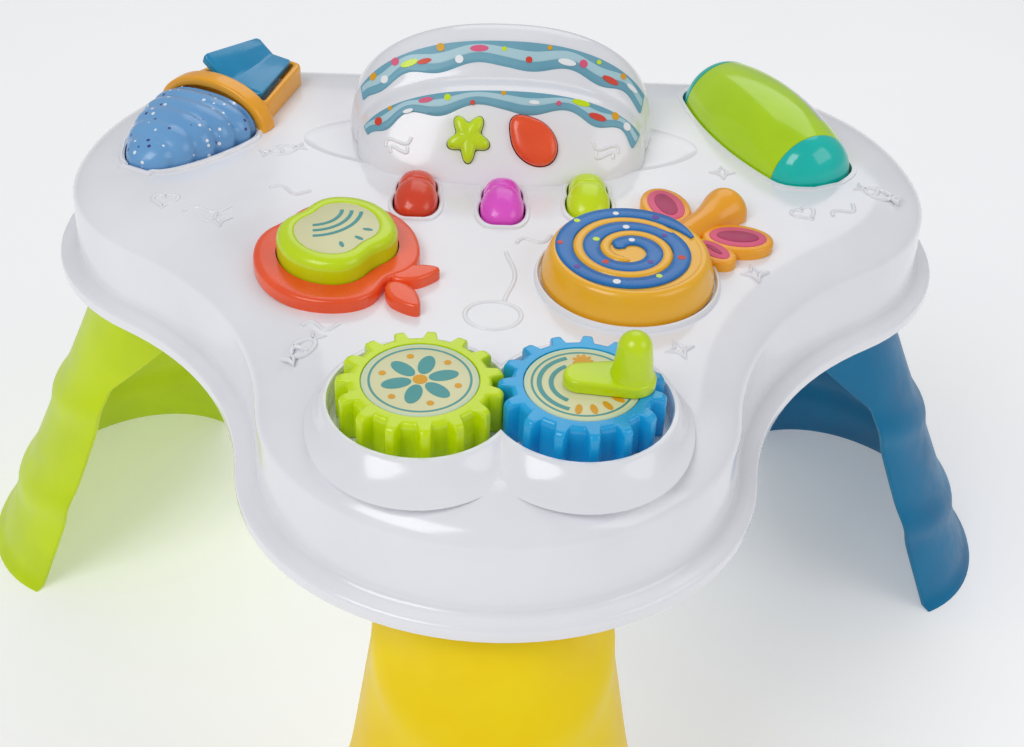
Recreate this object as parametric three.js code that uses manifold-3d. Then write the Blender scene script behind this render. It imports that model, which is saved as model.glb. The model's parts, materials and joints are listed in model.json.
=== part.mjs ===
// A child's musical activity table: a three-lobed top on three channel legs, with keys, buttons,
// meshing gears, a turning lollipop disc, a roller drum and an ice-cream rocker on its deck.
// Lengths are millimetres, +Z is up and the player sits on the -Y side.
import * as THREE from "three";
import { mergeVertices } from "three/addons/utils/BufferGeometryUtils.js";
import Module from "manifold-3d";

const wasm = await Module();
wasm.setup();

// Fits that all pieces share
const gap = 0.3; // between pieces that rest on or beside each other
const travelGap = 0.8; // round a button or key that travels
const axialSlack = 0.15; // a hub stands this far past the wall that it turns in
const overrun = 2; // how far a cut passes the face that it opens
const weldDistance = 0.001; // vertices nearer than this are one
const roundSteps = 18; // sides of a small round piece
const wideSteps = 28; // sides of a wide one

// The three-lobed top
const legHeight = 215; // floor to the rim's lower edge
const lobeRadius = 100;
const lobeSpread = 117.3; // table centre to a lobe's centre
const waistRadius = 150; // hollow curve between the front lobe and a side lobe
const frontDepthShare = 0.893; // the plan is drawn in along Y in front of the side lobes' centres
const rearDepthShare = 1.13; // and drawn out behind them
const flangeHeight = 6.5;
const flangeReach = 8; // how far the rim stands out of the wall
const flangeEdge = 1.4; // bevel on the rim
const wallLean = 1.5;
const shoulderHeight = 34; // where the wall turns into the crown
const crownReach = 30; // width of the rounded shoulder
const deckHeight = 46; // rim's lower edge to the deck
const shellWall = 3;
const deckUnderside = deckHeight - shellWall;
const coverThickness = 2.8;

// Gears on the front lobe
const gear = {
  teeth: 15,
  tipRadius: 29.9,
  rootRadius: 25.5,
  bevel: 1.6,
  height: 15, // top above the deck's level
  hubRadius: 6,
  labelRadius: 20.8,
  labelRecess: 1.3,
  labelThickness: 0.9,
  hollowInner: 10,
  hollowOuter: 20.2,
  hollowDepth: 12,
  apart: 57.1,
  y: -126.7,
  toothRootShare: 0.26, // half a tooth's width at its root, as a share of the pitch
  toothTipShare: 0.145,
};
const pocket = {
  radius: 32.6,
  lipRadius: 34.8,
  footRadius: 39,
  apron: 7.5, // how much farther the foot reaches towards the player
  lipHeight: 7,
  floorDrop: 2,
};
const pocketSlopeShare = 0.35; // how far out the slope lies at half its height
const gearBelow = pocket.floorDrop - gap; // gear's underside below the deck's level
const gearHubEnd = -(pocket.floorDrop + shellWall + axialSlack);
const crank = {
  hubEnd: 6.2, // half width of the arm's plain end
  knobEnd: 8.6,
  reach: 17, // gear centre to the knob's axis
  tail: 1, // how far the plain end's centre lies past the gear's centre
  thickness: 4.4,
  bossRadius: 4.4,
  bossLength: 6.4,
  knobRadius: 7.5,
  knobTopRadius: 5.6,
  knobHeight: 17.5,
};

// Lollipop on the right
const lolly = {
  x: 51,
  y: -38,
  radius: 35,
  topRadius: 31.5,
  top: 14, // above the deck
  hubRadius: 7.5,
  collarRadius: 37.6,
  collarWall: 1.7,
  collarHeight: 2.6,
  spiralStart: 4.5,
  spiralEnd: 27.4,
  spiralTurns: 2,
  spiralWidth: 7,
  spiralThickness: 0.9,
  spiralSteps: 44,
  angle: 49, // direction of the stick, degrees from +X
  stickLength: 41,
  stickRadius: 7,
  knobRadius: 10.4,
  stickRise: 1.4, // axis above the deck
};
const lollyHubEnd = -(shellWall + axialSlack);
const bow = { reach: 51.5, smallReach: 36.5, length: 15, width: 10.5, turn: 55, smallTurn: 100, height: 4.6 };
const bowSmallShare = 0.72; // size of the small loops beside the large ones
const bowTieShare = 0.9; // how near to the stick's side each loop reaches in

// Apple on the left
const apple = {
  x: -66.5,
  y: -30.4,
  halfWidth: 33.6,
  halfLength: 37.5,
  height: 5.7,
  edge: 1.8,
  stemAngle: -40,
  dipDepthShare: 0.17, // at the stem
  tailDepthShare: 0.1, // and opposite it
  dipSpread: 17, // degrees
  leafLength: 10,
  leafWidth: 5.4,
  leafHeight: 5,
  stalkRadius: 4.5,
  stalkReach: 28.5,
};
// Each leaf: distance and direction of its centre from the apple's, and its own direction
const leafPlaces = [
  { reach: 34.8, azimuth: -23, turn: 19 },
  { reach: 41, azimuth: -46, turn: -54 },
];
const appleButton = {
  x: -66.3,
  y: -29.5,
  halfWidth: 24.5,
  halfLength: 26.5,
  dipDepthShare: 0.17,
  dipSpread: 24, // degrees
  top: 15.6,
  edge: 2.4,
  wall: 2.4,
  flangeReach: 1.3,
  flangeThickness: 2,
  travel: 4,
  stemRadius: 4.5,
  labelShare: 0.7,
  labelThickness: 0.9,
};

// Roller drum on the right rear
const drum = {
  x: 124.5,
  y: 90,
  angle: -66.5, // direction of the axis, degrees from +X
  axisDrop: 2.5, // axis below the deck's surface
  radius: 25.5,
  jointRadius: 21.3, // where the caps meet the barrel
  jointAt: 36,
  tipRadius: 9,
  tipAt: 52,
  wall: 2.2,
  clearance: 1.2,
  collarReach: 3.4,
  collarHeight: 2.8,
  collarDepth: 5, // how far the collar's skirt hangs below the deck's underside
  pinRadius: 2.2,
  pinLength: 3,
  windowHalfAngle: 26,
  windowAngle: -52, // middle of the clear strip, degrees down from the top, away from the player
  windowAt: 27,
  bearingWidth: 12,
};

// Ice-cream cone on the left rear, drawn along its own +Y axis towards the cone's end
const cone = {
  x: -133.5,
  y: 91,
  angle: -27,
  ringHalfWidth: 29.8,
  ringHeight: 19.8,
  ringWall: 4.6,
  ringThickness: 9,
  frameNear: 25,
  frameFar: 16,
  frameEnd: 49,
  frameWall: 3.2,
  frameHeight: 10,
};
const scoop = {
  halfWidth: 27,
  length: 53.6,
  height: 16,
  start: 5.2,
  ribs: 5,
  ribShare: 0.05,
  ribSteps: 5, // sections in each rib
  stem: 4.5, // deck's underside to the flange
  flangeReach: 2,
  flangeThickness: 2,
  travel: 3,
};
// Each row: place along the scoop, half width and height, as shares of the scoop's own
const scoopStationShares = [
  [0, 0.93, 0.9], [0.1, 1, 0.97], [0.26, 0.96, 1], [0.42, 0.87, 1], [0.57, 0.77, 0.94],
  [0.72, 0.64, 0.82], [0.85, 0.49, 0.64], [0.95, 0.32, 0.44], [1, 0.17, 0.26],
];
const rocker = {
  pivotHeight: 8,
  wingRise: 18, // slope of each wing from the valley, degrees
  restTilt: 22, // left wing up
  thickness: 5,
  valley: 6, // valley's surface above the pivot
  endGap: 0.6, // between the rocker's ends and the frame
  nearSideGap: 4.2,
  farSideGap: 3,
  pinRadius: 2,
  pinLength: 3,
};

// Hood with the star and the balloon
const hood = {
  front: 32,
  depth: 82,
  halfWidth: 70,
  height: 50,
  wall: 2.4,
  slope: 51.8, // of the front panel, degrees
  panelY: 44,
  panelZ: 14.9, // of the panel's middle above the deck
  bandThickness: 0.9,
  archSteps: 14,
};
// Each row: place along the depth, half width and height, as shares of the hood's own
const hoodSectionShares = [
  [0, 0.09, 0.0165], [0.024, 0.33, 0.06], [0.061, 0.54, 0.136], [0.11, 0.71, 0.236], [0.195, 0.836, 0.412],
  [0.27, 0.9, 0.56], [0.34, 0.93, 0.65], [0.463, 0.945, 0.67], [0.5, 0.965, 0.72], [0.573, 0.985, 0.85],
  [0.634, 1, 0.95], [0.707, 1, 1], [0.79, 1, 0.95], [0.878, 1, 0.84], [0.951, 0.97, 0.7], [1, 0.92, 0.5],
];
const dish = { halfLength: 91, halfWidth: 30, seatHalfWidth: 40.8, depth: 1.4, slope: 5, placeShare: 0.48 };
const rearBand = { fromShare: 0.515, toShare: 0.63, lowShare: 0.3 };
const frontBand = { fromShare: 0.245, toShare: 0.335, lowShare: 0.2 };
const star = { x: -15, rise: 2, radius: 8.9, lobe: 2.3, lobes: 5, proud: 3.4, travel: 1.8, stem: 3 };
const starWidthShare = 0.86;
const balloon = {
  x: 14,
  rise: 1,
  halfLength: 11.6,
  halfWidth: 9,
  knot: 2.6,
  knotAngle: 131,
  proud: 4,
  travel: 1.8,
  stem: 3.2,
};
const panelFlange = { reach: 1.4, thickness: 1.4 };
const panelBevel = 1.2;

// Piano keys
const key = {
  length: 29.5,
  halfWidth: 9.4,
  height: 8.8,
  below: 9,
  baseHalfWidth: 6.4,
  pivotBack: 4, // pivot in front of the key's rear end
  pivotDrop: 7.4, // pivot below the deck
  pinRadius: 1.8,
  pinHalfLength: 9.8,
  earThickness: 2.6,
  earMargin: 1.4, // ear above the pin
  travel: 7, // degrees
  lipWidth: 1.6,
  lipHeight: 1.1,
  lipBack: 6, // where the lip ends in front of the key's rear end
};
const keyPlaces = [
  { name: "key_red", x: -36.8, rear: 35 },
  { name: "key_pink", x: 0.4, rear: 30.4 },
  { name: "key_green", x: 37.8, rear: 36.4 },
];
// Each row: place from the rear end, half width and height, as shares of the key's own
const keySectionShares = [
  [0, 0.5, 0.4], [0.05, 0.7, 0.7], [0.14, 0.84, 0.88], [0.24, 0.885, 0.97], [0.37, 0.885, 0.98],
  [0.4, 0.9, 0.93],
  [0.46, 0.97, 1], [0.62, 1, 0.98], [0.8, 0.93, 0.8], [0.93, 0.7, 0.5], [1, 0.42, 0.22],
];
const keyBracket = { halfWidth: 53, near: 8, far: 37, drop: 18, thickness: 2, postRadius: 3.6 };
const keyPad = { halfWidth: 49, length: 9, thickness: 1, domeRadius: 3.4, domeHeight: 1.6 };

// Legs
const leg = {
  topRadius: 36.5,
  spreadShare: 0.157, // growth of the radius per millimetre down
  widenShare: 0.2, // how much wider than deep the section has grown at the floor
  splayShare: 0.32, // outward lean of the centre line per millimetre down
  wall: 3,
  webReach: 44, // how far the side webs run inward at the top
  webDepth: 84, // depth at which they end
  webEnd: 1.2,
  ridge: 2.4,
  ridgeWidth: 9,
  ridgeDroop: 16, // how much lower a ridge lies at its middle than at its ends
  lip: 2.6,
  lipHeight: 7,
  plate: 3,
  tenonLength: 34,
  tenonWidth: 12,
  tenonHeight: 15,
  socketWall: 2.2,
  arcSteps: 12,
};
const ridgeDepths = [30, 96, 158];
// Depths of the leg's sections as shares of its height
const legSectionShares = [0.074, 0.12, 0.167, 0.233, 0.39, 0.474, 0.52, 0.595, 0.707, 0.8, 0.856];
const legPlaces = [
  { name: "leg_front", distance: 145, azimuth: -90 },
  { name: "leg_right", distance: 162, azimuth: 28 },
  { name: "leg_left", distance: 162, azimuth: 152 },
];

// Inside and underneath
const screw = { shaftRadius: 1.5, headRadius: 3.2, headHeight: 1.3, length: 14, holeRadius: 1.9 };
const screwEndGap = 1; // a screw ends this far before its pilot hole does
const doorScrewLength = 9.5;
const boss = { radius: 4.6, boreRadius: 1.8, boreDepth: 14 };
const coverScrewPlaces = [[-70, -100], [70, -100], [-158, 26], [158, 26], [0, 137]];
const retainer = { radius: 12, thickness: 2.2, screwLength: 9, headRadius: 3.4, headHeight: 2, pilot: 1.8 };
const battery = { radius: 7, length: 49, tipRadius: 2.6, tipLength: 1.4, pitch: 14.8 };
const batteryBox = { x: 0, y: 84, wall: 1.8, side: 0.5 };
const contact = { thickness: 0.7, rise: 2.4, base: 4, tip: 1.6 };
const batteryDoor = { thickness: 2.2, lap: 4, frontLap: 10, bossHeight: 9 };
const board = { x: -26, y: -22, width: 118, depth: 64, thickness: 1.6, seat: 20, postRadius: 3.2, inset: 7 };
const speaker = { x: 84, y: -22, radius: 22, height: 13, magnetRadius: 11, wall: 1.6, coneDepth: 5 };
const grille = { holes: 8, holeRadius: 1.7 };
const powerSwitch = { x: 72, y: 62, width: 17, depth: 8, height: 6, knobWidth: 5, knobDepth: 3.6, travel: 6 };
const hoodBoard = { width: 46, low: -9.9, high: 9, thickness: 1.6, holeWidth: 30, holeDepth: 16, holeY: 76 };
const applePad = { radius: 9, height: 7.6 };
const boardTop = board.seat + gap + board.thickness;
const scoopPad = { radius: 8, height: 2.6, postRadius: 5 };
const scoopPadSeat =
  deckUnderside - scoop.stem - scoop.flangeThickness - scoop.travel - scoopPad.height - 2 * gap;

const radians = THREE.MathUtils.degToRad;

// Plastics and metals
const finish = (colour, roughness = 0.32, metalness = 0) =>
  new THREE.MeshStandardMaterial({ color: colour, roughness, metalness });
const materials = {
  white: finish(0xf2f2f4, 0.22),
  lime: finish(0xc4e616),
  blue: finish(0x2fa8dc),
  skyBlue: finish(0x6db1e2),
  teal: finish(0x2bbcb4),
  orange: finish(0xf3a62a),
  red: finish(0xee5a33),
  darkRed: finish(0xcc4c33),
  pink: finish(0xda55cf),
  legGreen: finish(0xc6dc00),
  legYellow: finish(0xfbd300),
  legBlue: finish(0x006a92),
  label: finish(0xdfddb4, 0.4),
  print: finish(0x6fb9cf, 0.35),
  clear: finish(0xd9e0e2, 0.1),
  board: finish(0x1f6b3a, 0.5),
  rubber: finish(0x4a4a4c, 0.8),
  steel: finish(0xb9bcc0, 0.3, 1),
  black: finish(0x26262a, 0.5),
  cell: finish(0x8d9096, 0.4, 0.6),
};

// Turns a closed three.js geometry, placed by a matrix, into a solid that can be joined and cut.
function solid(geometry, matrix) {
  const plain = geometry.index ? geometry.toNonIndexed() : geometry.clone();
  for (const name of Object.keys(plain.attributes)) if (name !== "position") plain.deleteAttribute(name);
  if (matrix) plain.applyMatrix4(matrix);
  const merged = mergeVertices(plain, weldDistance);
  const corners = [];
  const index = merged.index.array;
  for (let i = 0; i < index.length; i += 3) {
    const [a, b, c] = [index[i], index[i + 1], index[i + 2]];
    if (a !== b && b !== c && c !== a) corners.push(a, b, c);
  }
  const vertProperties = merged.attributes.position.array;
  return new wasm.Manifold(new wasm.Mesh({ numProp: 3, vertProperties, triVerts: new Uint32Array(corners) }));
}

// Turns a solid back into a three.js geometry.
function geometryOf(body) {
  const { numProp, numVert, vertProperties, triVerts } = body.getMesh();
  const positions = new Float32Array(numVert * 3);
  for (let i = 0; i < numVert; i++) positions.set(vertProperties.subarray(i * numProp, i * numProp + 3), i * 3);
  const geometry = new THREE.BufferGeometry();
  geometry.setAttribute("position", new THREE.BufferAttribute(positions, 3));
  geometry.setIndex(new THREE.BufferAttribute(triVerts, 1));
  geometry.computeVertexNormals();
  return geometry;
}

const join = (first, ...rest) => rest.reduce((sum, next) => sum.add(next), first);
const cut = (first, ...rest) => rest.reduce((left, next) => left.subtract(next), first);

// A matrix that turns about Z by an angle in degrees and then moves.
const place = (x, y, z, angle = 0) =>
  new THREE.Matrix4().makeTranslation(x, y, z).multiply(new THREE.Matrix4().makeRotationZ(radians(angle)));
const layAlongX = new THREE.Matrix4().makeRotationY(Math.PI / 2); // +Z becomes +X
const standAlongY = new THREE.Matrix4().makeRotationX(Math.PI / 2); // +Y becomes +Z, +Z becomes -Y

// Stacks outlines with equal counts of points, counterclockwise, into one closed solid.
function loft(levels, matrix) {
  const count = levels[0].points.length;
  const positions = levels.flatMap(({ points, z }) => points.flatMap(([x, y]) => [x, y, z]));
  const index = [];
  for (let k = 0; k < levels.length - 1; k++) {
    for (let i = 0; i < count; i++) {
      const a = k * count + i;
      const b = k * count + ((i + 1) % count);
      index.push(a, b, b + count, a, b + count, a + count);
    }
  }
  const cap = (level, base, up) => {
    const contour = level.points.map(([x, y]) => new THREE.Vector2(x, y));
    for (const [a, b, c] of THREE.ShapeUtils.triangulateShape(contour, [])) {
      const area = THREE.ShapeUtils.area([contour[a], contour[b], contour[c]]);
      if (area > 0 === up) index.push(base + a, base + b, base + c);
      else index.push(base + a, base + c, base + b);
    }
  };
  cap(levels[0], 0, false);
  cap(levels.at(-1), (levels.length - 1) * count, true);
  const geometry = new THREE.BufferGeometry();
  geometry.setAttribute("position", new THREE.Float32BufferAttribute(positions, 3));
  geometry.setIndex(index);
  return solid(geometry, matrix);
}

const prism = (points, low, high, matrix) => loft([{ points, z: low }, { points, z: high }], matrix);

function block(width, depth, low, high, matrix) {
  const geometry = new THREE.BoxGeometry(width, depth, high - low).translate(0, 0, (low + high) / 2);
  return solid(geometry, matrix);
}

function cylinder(radius, low, high, matrix, steps = roundSteps) {
  const geometry = new THREE.CylinderGeometry(radius, radius, high - low, steps);
  geometry.rotateX(Math.PI / 2).translate(0, 0, (low + high) / 2);
  return solid(geometry, matrix);
}

// A turned solid from a profile of [radius, height] points that runs upward outside.
function turned(profile, matrix, steps = roundSteps) {
  const geometry = new THREE.LatheGeometry(profile.map(([r, z]) => new THREE.Vector2(r, z)), steps);
  return solid(geometry.rotateX(Math.PI / 2), matrix);
}

// Points of an arc, without its last one.
function arc(cx, cy, radius, from, to, steps) {
  return Array.from({ length: steps }, (_, i) => {
    const angle = from + ((to - from) * i) / steps;
    return [cx + radius * Math.cos(angle), cy + radius * Math.sin(angle)];
  });
}

const ellipse = (cx, cy, halfX, halfY, steps = roundSteps) =>
  arc(0, 0, 1, 0, 2 * Math.PI, steps).map(([x, y]) => [cx + halfX * x, cy + halfY * y]);

// A closed outline whose radius follows a function of the angle.
const polar = (radiusAt, steps, shareX = 1, shareY = 1) =>
  arc(0, 0, 1, 0, 2 * Math.PI, steps).map(([x, y]) => {
    const radius = radiusAt(Math.atan2(y, x));
    return [radius * x * shareX, radius * y * shareY];
  });

// The plan of the top, drawn in by an inset.
function trefoil(inset) {
  const halfSpan = lobeSpread * Math.sin(Math.PI / 3);
  const sideY = lobeSpread / 2;
  const reach = sideY + Math.sqrt((lobeRadius + waistRadius) ** 2 - halfSpan ** 2);
  const waistX = reach * Math.cos(Math.PI / 6);
  const waistY = -reach / 2;
  const meet = Math.atan2(waistY + lobeSpread, waistX);
  const turn = Math.PI / 6 - meet - Math.PI / 3;
  const lobe = lobeRadius - inset;
  const waist = waistRadius + inset;
  const right = [
    ...arc(0, -lobeSpread, lobe, -Math.PI / 2, meet, 8),
    ...arc(waistX, waistY, waist, Math.PI + meet, (2 * Math.PI) / 3 - meet, 5),
    ...arc(halfSpan, sideY, lobe, -Math.PI / 3 - meet, Math.PI / 2, 13),
    ...[0, 1, 2].map((i) => [halfSpan * (1 - i / 3), sideY + lobe]),
  ];
  const left = right.slice(1).reverse().map(([x, y]) => [-x, y]);
  const all = [...right, [0, sideY + lobe], ...left];
  return all.map(([x, y]) => {
    const behind = Math.max(y - sideY, 0);
    return [x, Math.min(y, sideY) * frontDepthShare + behind * rearDepthShare];
  });
}

// The levels of the top's outer face, or of its inner face when a wall is given.
function shellLevels(wall) {
  const wallInset = flangeReach + wall;
  const crownInset = wallInset + wallLean;
  const crownRise = deckHeight - shoulderHeight - wall;
  const lower = wall
    ? [[wallInset, -overrun]]
    : [
        [0, 0],
        [0, flangeHeight - flangeEdge],
        [flangeEdge, flangeHeight],
        [wallInset, flangeHeight + flangeEdge],
      ];
  const crown = [0, 1, 2, 3, 4].map((i) => {
    const angle = (Math.PI / 2) * (i / 4);
    return [crownInset + crownReach * (1 - Math.cos(angle)), shoulderHeight + crownRise * Math.sin(angle)];
  });
  return [...lower, ...crown].map(([inset, z]) => ({ points: trefoil(inset), z }));
}

const gearPlaces = [[-gear.apart / 2, gear.y], [gear.apart / 2, gear.y]];
const drumAxisHeight = deckHeight - drum.axisDrop;
const drumPlace = place(drum.x, drum.y, drumAxisHeight, drum.angle);
const conePlace = place(cone.x, cone.y, deckHeight, cone.angle);

// Drum profile along its own axis, from the middle to a tip: [radius, distance]
function drumProfile(inflate, from, to) {
  const curve = [
    [drum.radius, 0],
    [drum.radius - (drum.radius - drum.jointRadius) * 0.27, drum.jointAt / 2],
    [drum.jointRadius, drum.jointAt],
    [drum.jointRadius * 0.84, drum.jointAt + (drum.tipAt - drum.jointAt) * 0.48],
    [drum.jointRadius * 0.64, drum.jointAt + (drum.tipAt - drum.jointAt) * 0.84],
    [drum.tipRadius, drum.tipAt],
  ];
  return curve.filter(([, at]) => at >= from && at <= to).map(([r, at]) => [r + inflate, at]);
}

// The whole barrel as one solid, larger all round by a clearance.
function drumSpace(inflate) {
  const half = drumProfile(inflate, 0, drum.tipAt);
  const end = drum.tipAt + inflate;
  const upper = [...half, [drum.tipRadius + inflate, end]];
  const lower = upper.slice(1).reverse().map(([r, at]) => [r, -at]);
  return turned([[0, -end], ...lower, ...upper, [0, end]], drumPlace.clone().multiply(layAlongX), wideSteps);
}

// Plan of the scoop, larger all round by a clearance.
function scoopPlan(inflate) {
  const side = scoopStationShares.map(([at, widthShare], i) => {
    const ends = i === 0 ? inflate : i === scoopStationShares.length - 1 ? -inflate : 0;
    return [scoop.halfWidth * widthShare + inflate, ends - scoop.start - at * scoop.length];
  });
  return [...side.map(([x, y]) => [-x, y]), ...side.slice().reverse()];
}

// How deep an outline dips at an angle, with the dip's direction and spread in degrees.
function dipAt(angle, direction, spread) {
  const dip = radians(direction);
  const off = Math.atan2(Math.sin(angle - dip), Math.cos(angle - dip));
  return Math.exp(-((off / radians(spread)) ** 2));
}

// Plan of the apple's base with a dip at the stem and a shallower one opposite.
function applePlan(shrink) {
  const { stemAngle, dipSpread, dipDepthShare, tailDepthShare } = apple;
  const radiusAt = (angle) => {
    const stem = dipDepthShare * dipAt(angle, stemAngle, dipSpread);
    return 1 - stem - tailDepthShare * dipAt(angle, stemAngle + 180, dipSpread);
  };
  return polar(radiusAt, 36, apple.halfWidth - shrink, apple.halfLength - shrink);
}

// Plan of the apple-core button: a rounded block bitten at the stem and opposite it.
function appleButtonPlan(inflate) {
  const { dipSpread, dipDepthShare, halfWidth, halfLength } = appleButton;
  const bites = (angle) =>
    dipAt(angle, apple.stemAngle, dipSpread) + dipAt(angle, apple.stemAngle + 180, dipSpread);
  return polar((angle) => 1 - dipDepthShare * bites(angle), 32, halfWidth + inflate, halfLength + inflate);
}

// Star with one lobe pointing down the panel.
const starPlan = (inflate) =>
  polar(
    (angle) => star.radius + inflate + star.lobe * Math.cos(star.lobes * (angle + Math.PI / 2)),
    30,
    starWidthShare,
  );

// Egg-shaped balloon with a knot at its upper end.
const balloonPlan = (inflate) =>
  polar((angle) => {
    const off = angle - radians(balloon.knotAngle);
    const { halfLength, halfWidth, knot } = balloon;
    const egg = 1 / Math.hypot(Math.cos(off) / halfLength, Math.sin(off) / halfWidth);
    return egg + inflate + knot * Math.max(0, Math.cos(off)) ** 12;
  }, 32);

// Centre of a button on the hood's front panel, raised along the panel from its middle.
const panelSpot = ({ x, rise }) => [
  x,
  hood.panelY + rise * Math.cos(radians(hood.slope)),
  deckHeight + hood.panelZ + rise * Math.sin(radians(hood.slope)),
];

// Frame of a button on the hood's front panel: its +Z is the panel's outward normal.
function panelPlace(data) {
  const turn = new THREE.Matrix4().makeRotationX(radians(hood.slope));
  return new THREE.Matrix4().makeTranslation(...panelSpot(data)).multiply(turn);
}

// The hood as an arch lofted from front to back, larger all round by a clearance.
function hoodSpace(inflate) {
  const depth = hood.depth + 2 * inflate;
  const levels = hoodSectionShares.map(([at, widthShare, heightShare]) => {
    const halfWidth = hood.halfWidth * widthShare + inflate;
    const height = Math.max(hood.height * heightShare + inflate, gap);
    const arch = Array.from({ length: hood.archSteps + 1 }, (_, i) => {
      const angle = (Math.PI * i) / hood.archSteps;
      const squared = (value) => Math.sign(value) * Math.abs(value) ** 0.86;
      return [halfWidth * squared(Math.cos(angle)), height * Math.abs(squared(Math.sin(angle)))];
    });
    const foot = inflate < 0 ? -overrun : 0;
    const points = [...arch, [-halfWidth, foot - gap], [halfWidth, foot - gap]];
    return { points, z: -(hood.front - inflate + at * depth) };
  });
  const seat = new THREE.Matrix4().makeTranslation(0, 0, deckHeight + 2 * gap);
  return loft(levels.reverse(), seat.multiply(standAlongY));
}

// Outline of a key's opening, larger all round than the key, with room for its swing in front.
function keyOutline(x, rear, inflate) {
  const swing = (key.pivotDrop + shellWall) * Math.sin(radians(key.travel));
  const reach = key.length + 2 * inflate + swing;
  const side = keySectionShares.map(([at, widthShare]) => [
    key.halfWidth * widthShare + inflate,
    rear + inflate - at * reach,
  ]);
  return [...side.map(([w, y]) => [x - w, y]), ...side.slice().reverse().map(([w, y]) => [x + w, y])];
}

// Sections of a key in its own frame, grown by a clearance.
function keyLevels(inflate, foot) {
  return keySectionShares.map(([at, widthShare, heightShare]) => {
    const halfWidth = key.halfWidth * widthShare + inflate;
    const height = key.height * heightShare + inflate;
    const dome = arc(0, 0, 1, 0, Math.PI, 12).map(([x, y]) => [halfWidth * x, height * y]);
    const points = [...dome, [-halfWidth, 0], [-halfWidth, foot], [halfWidth, foot]];
    return { points, z: at * (key.length + 2 * inflate) - inflate };
  });
}

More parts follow.
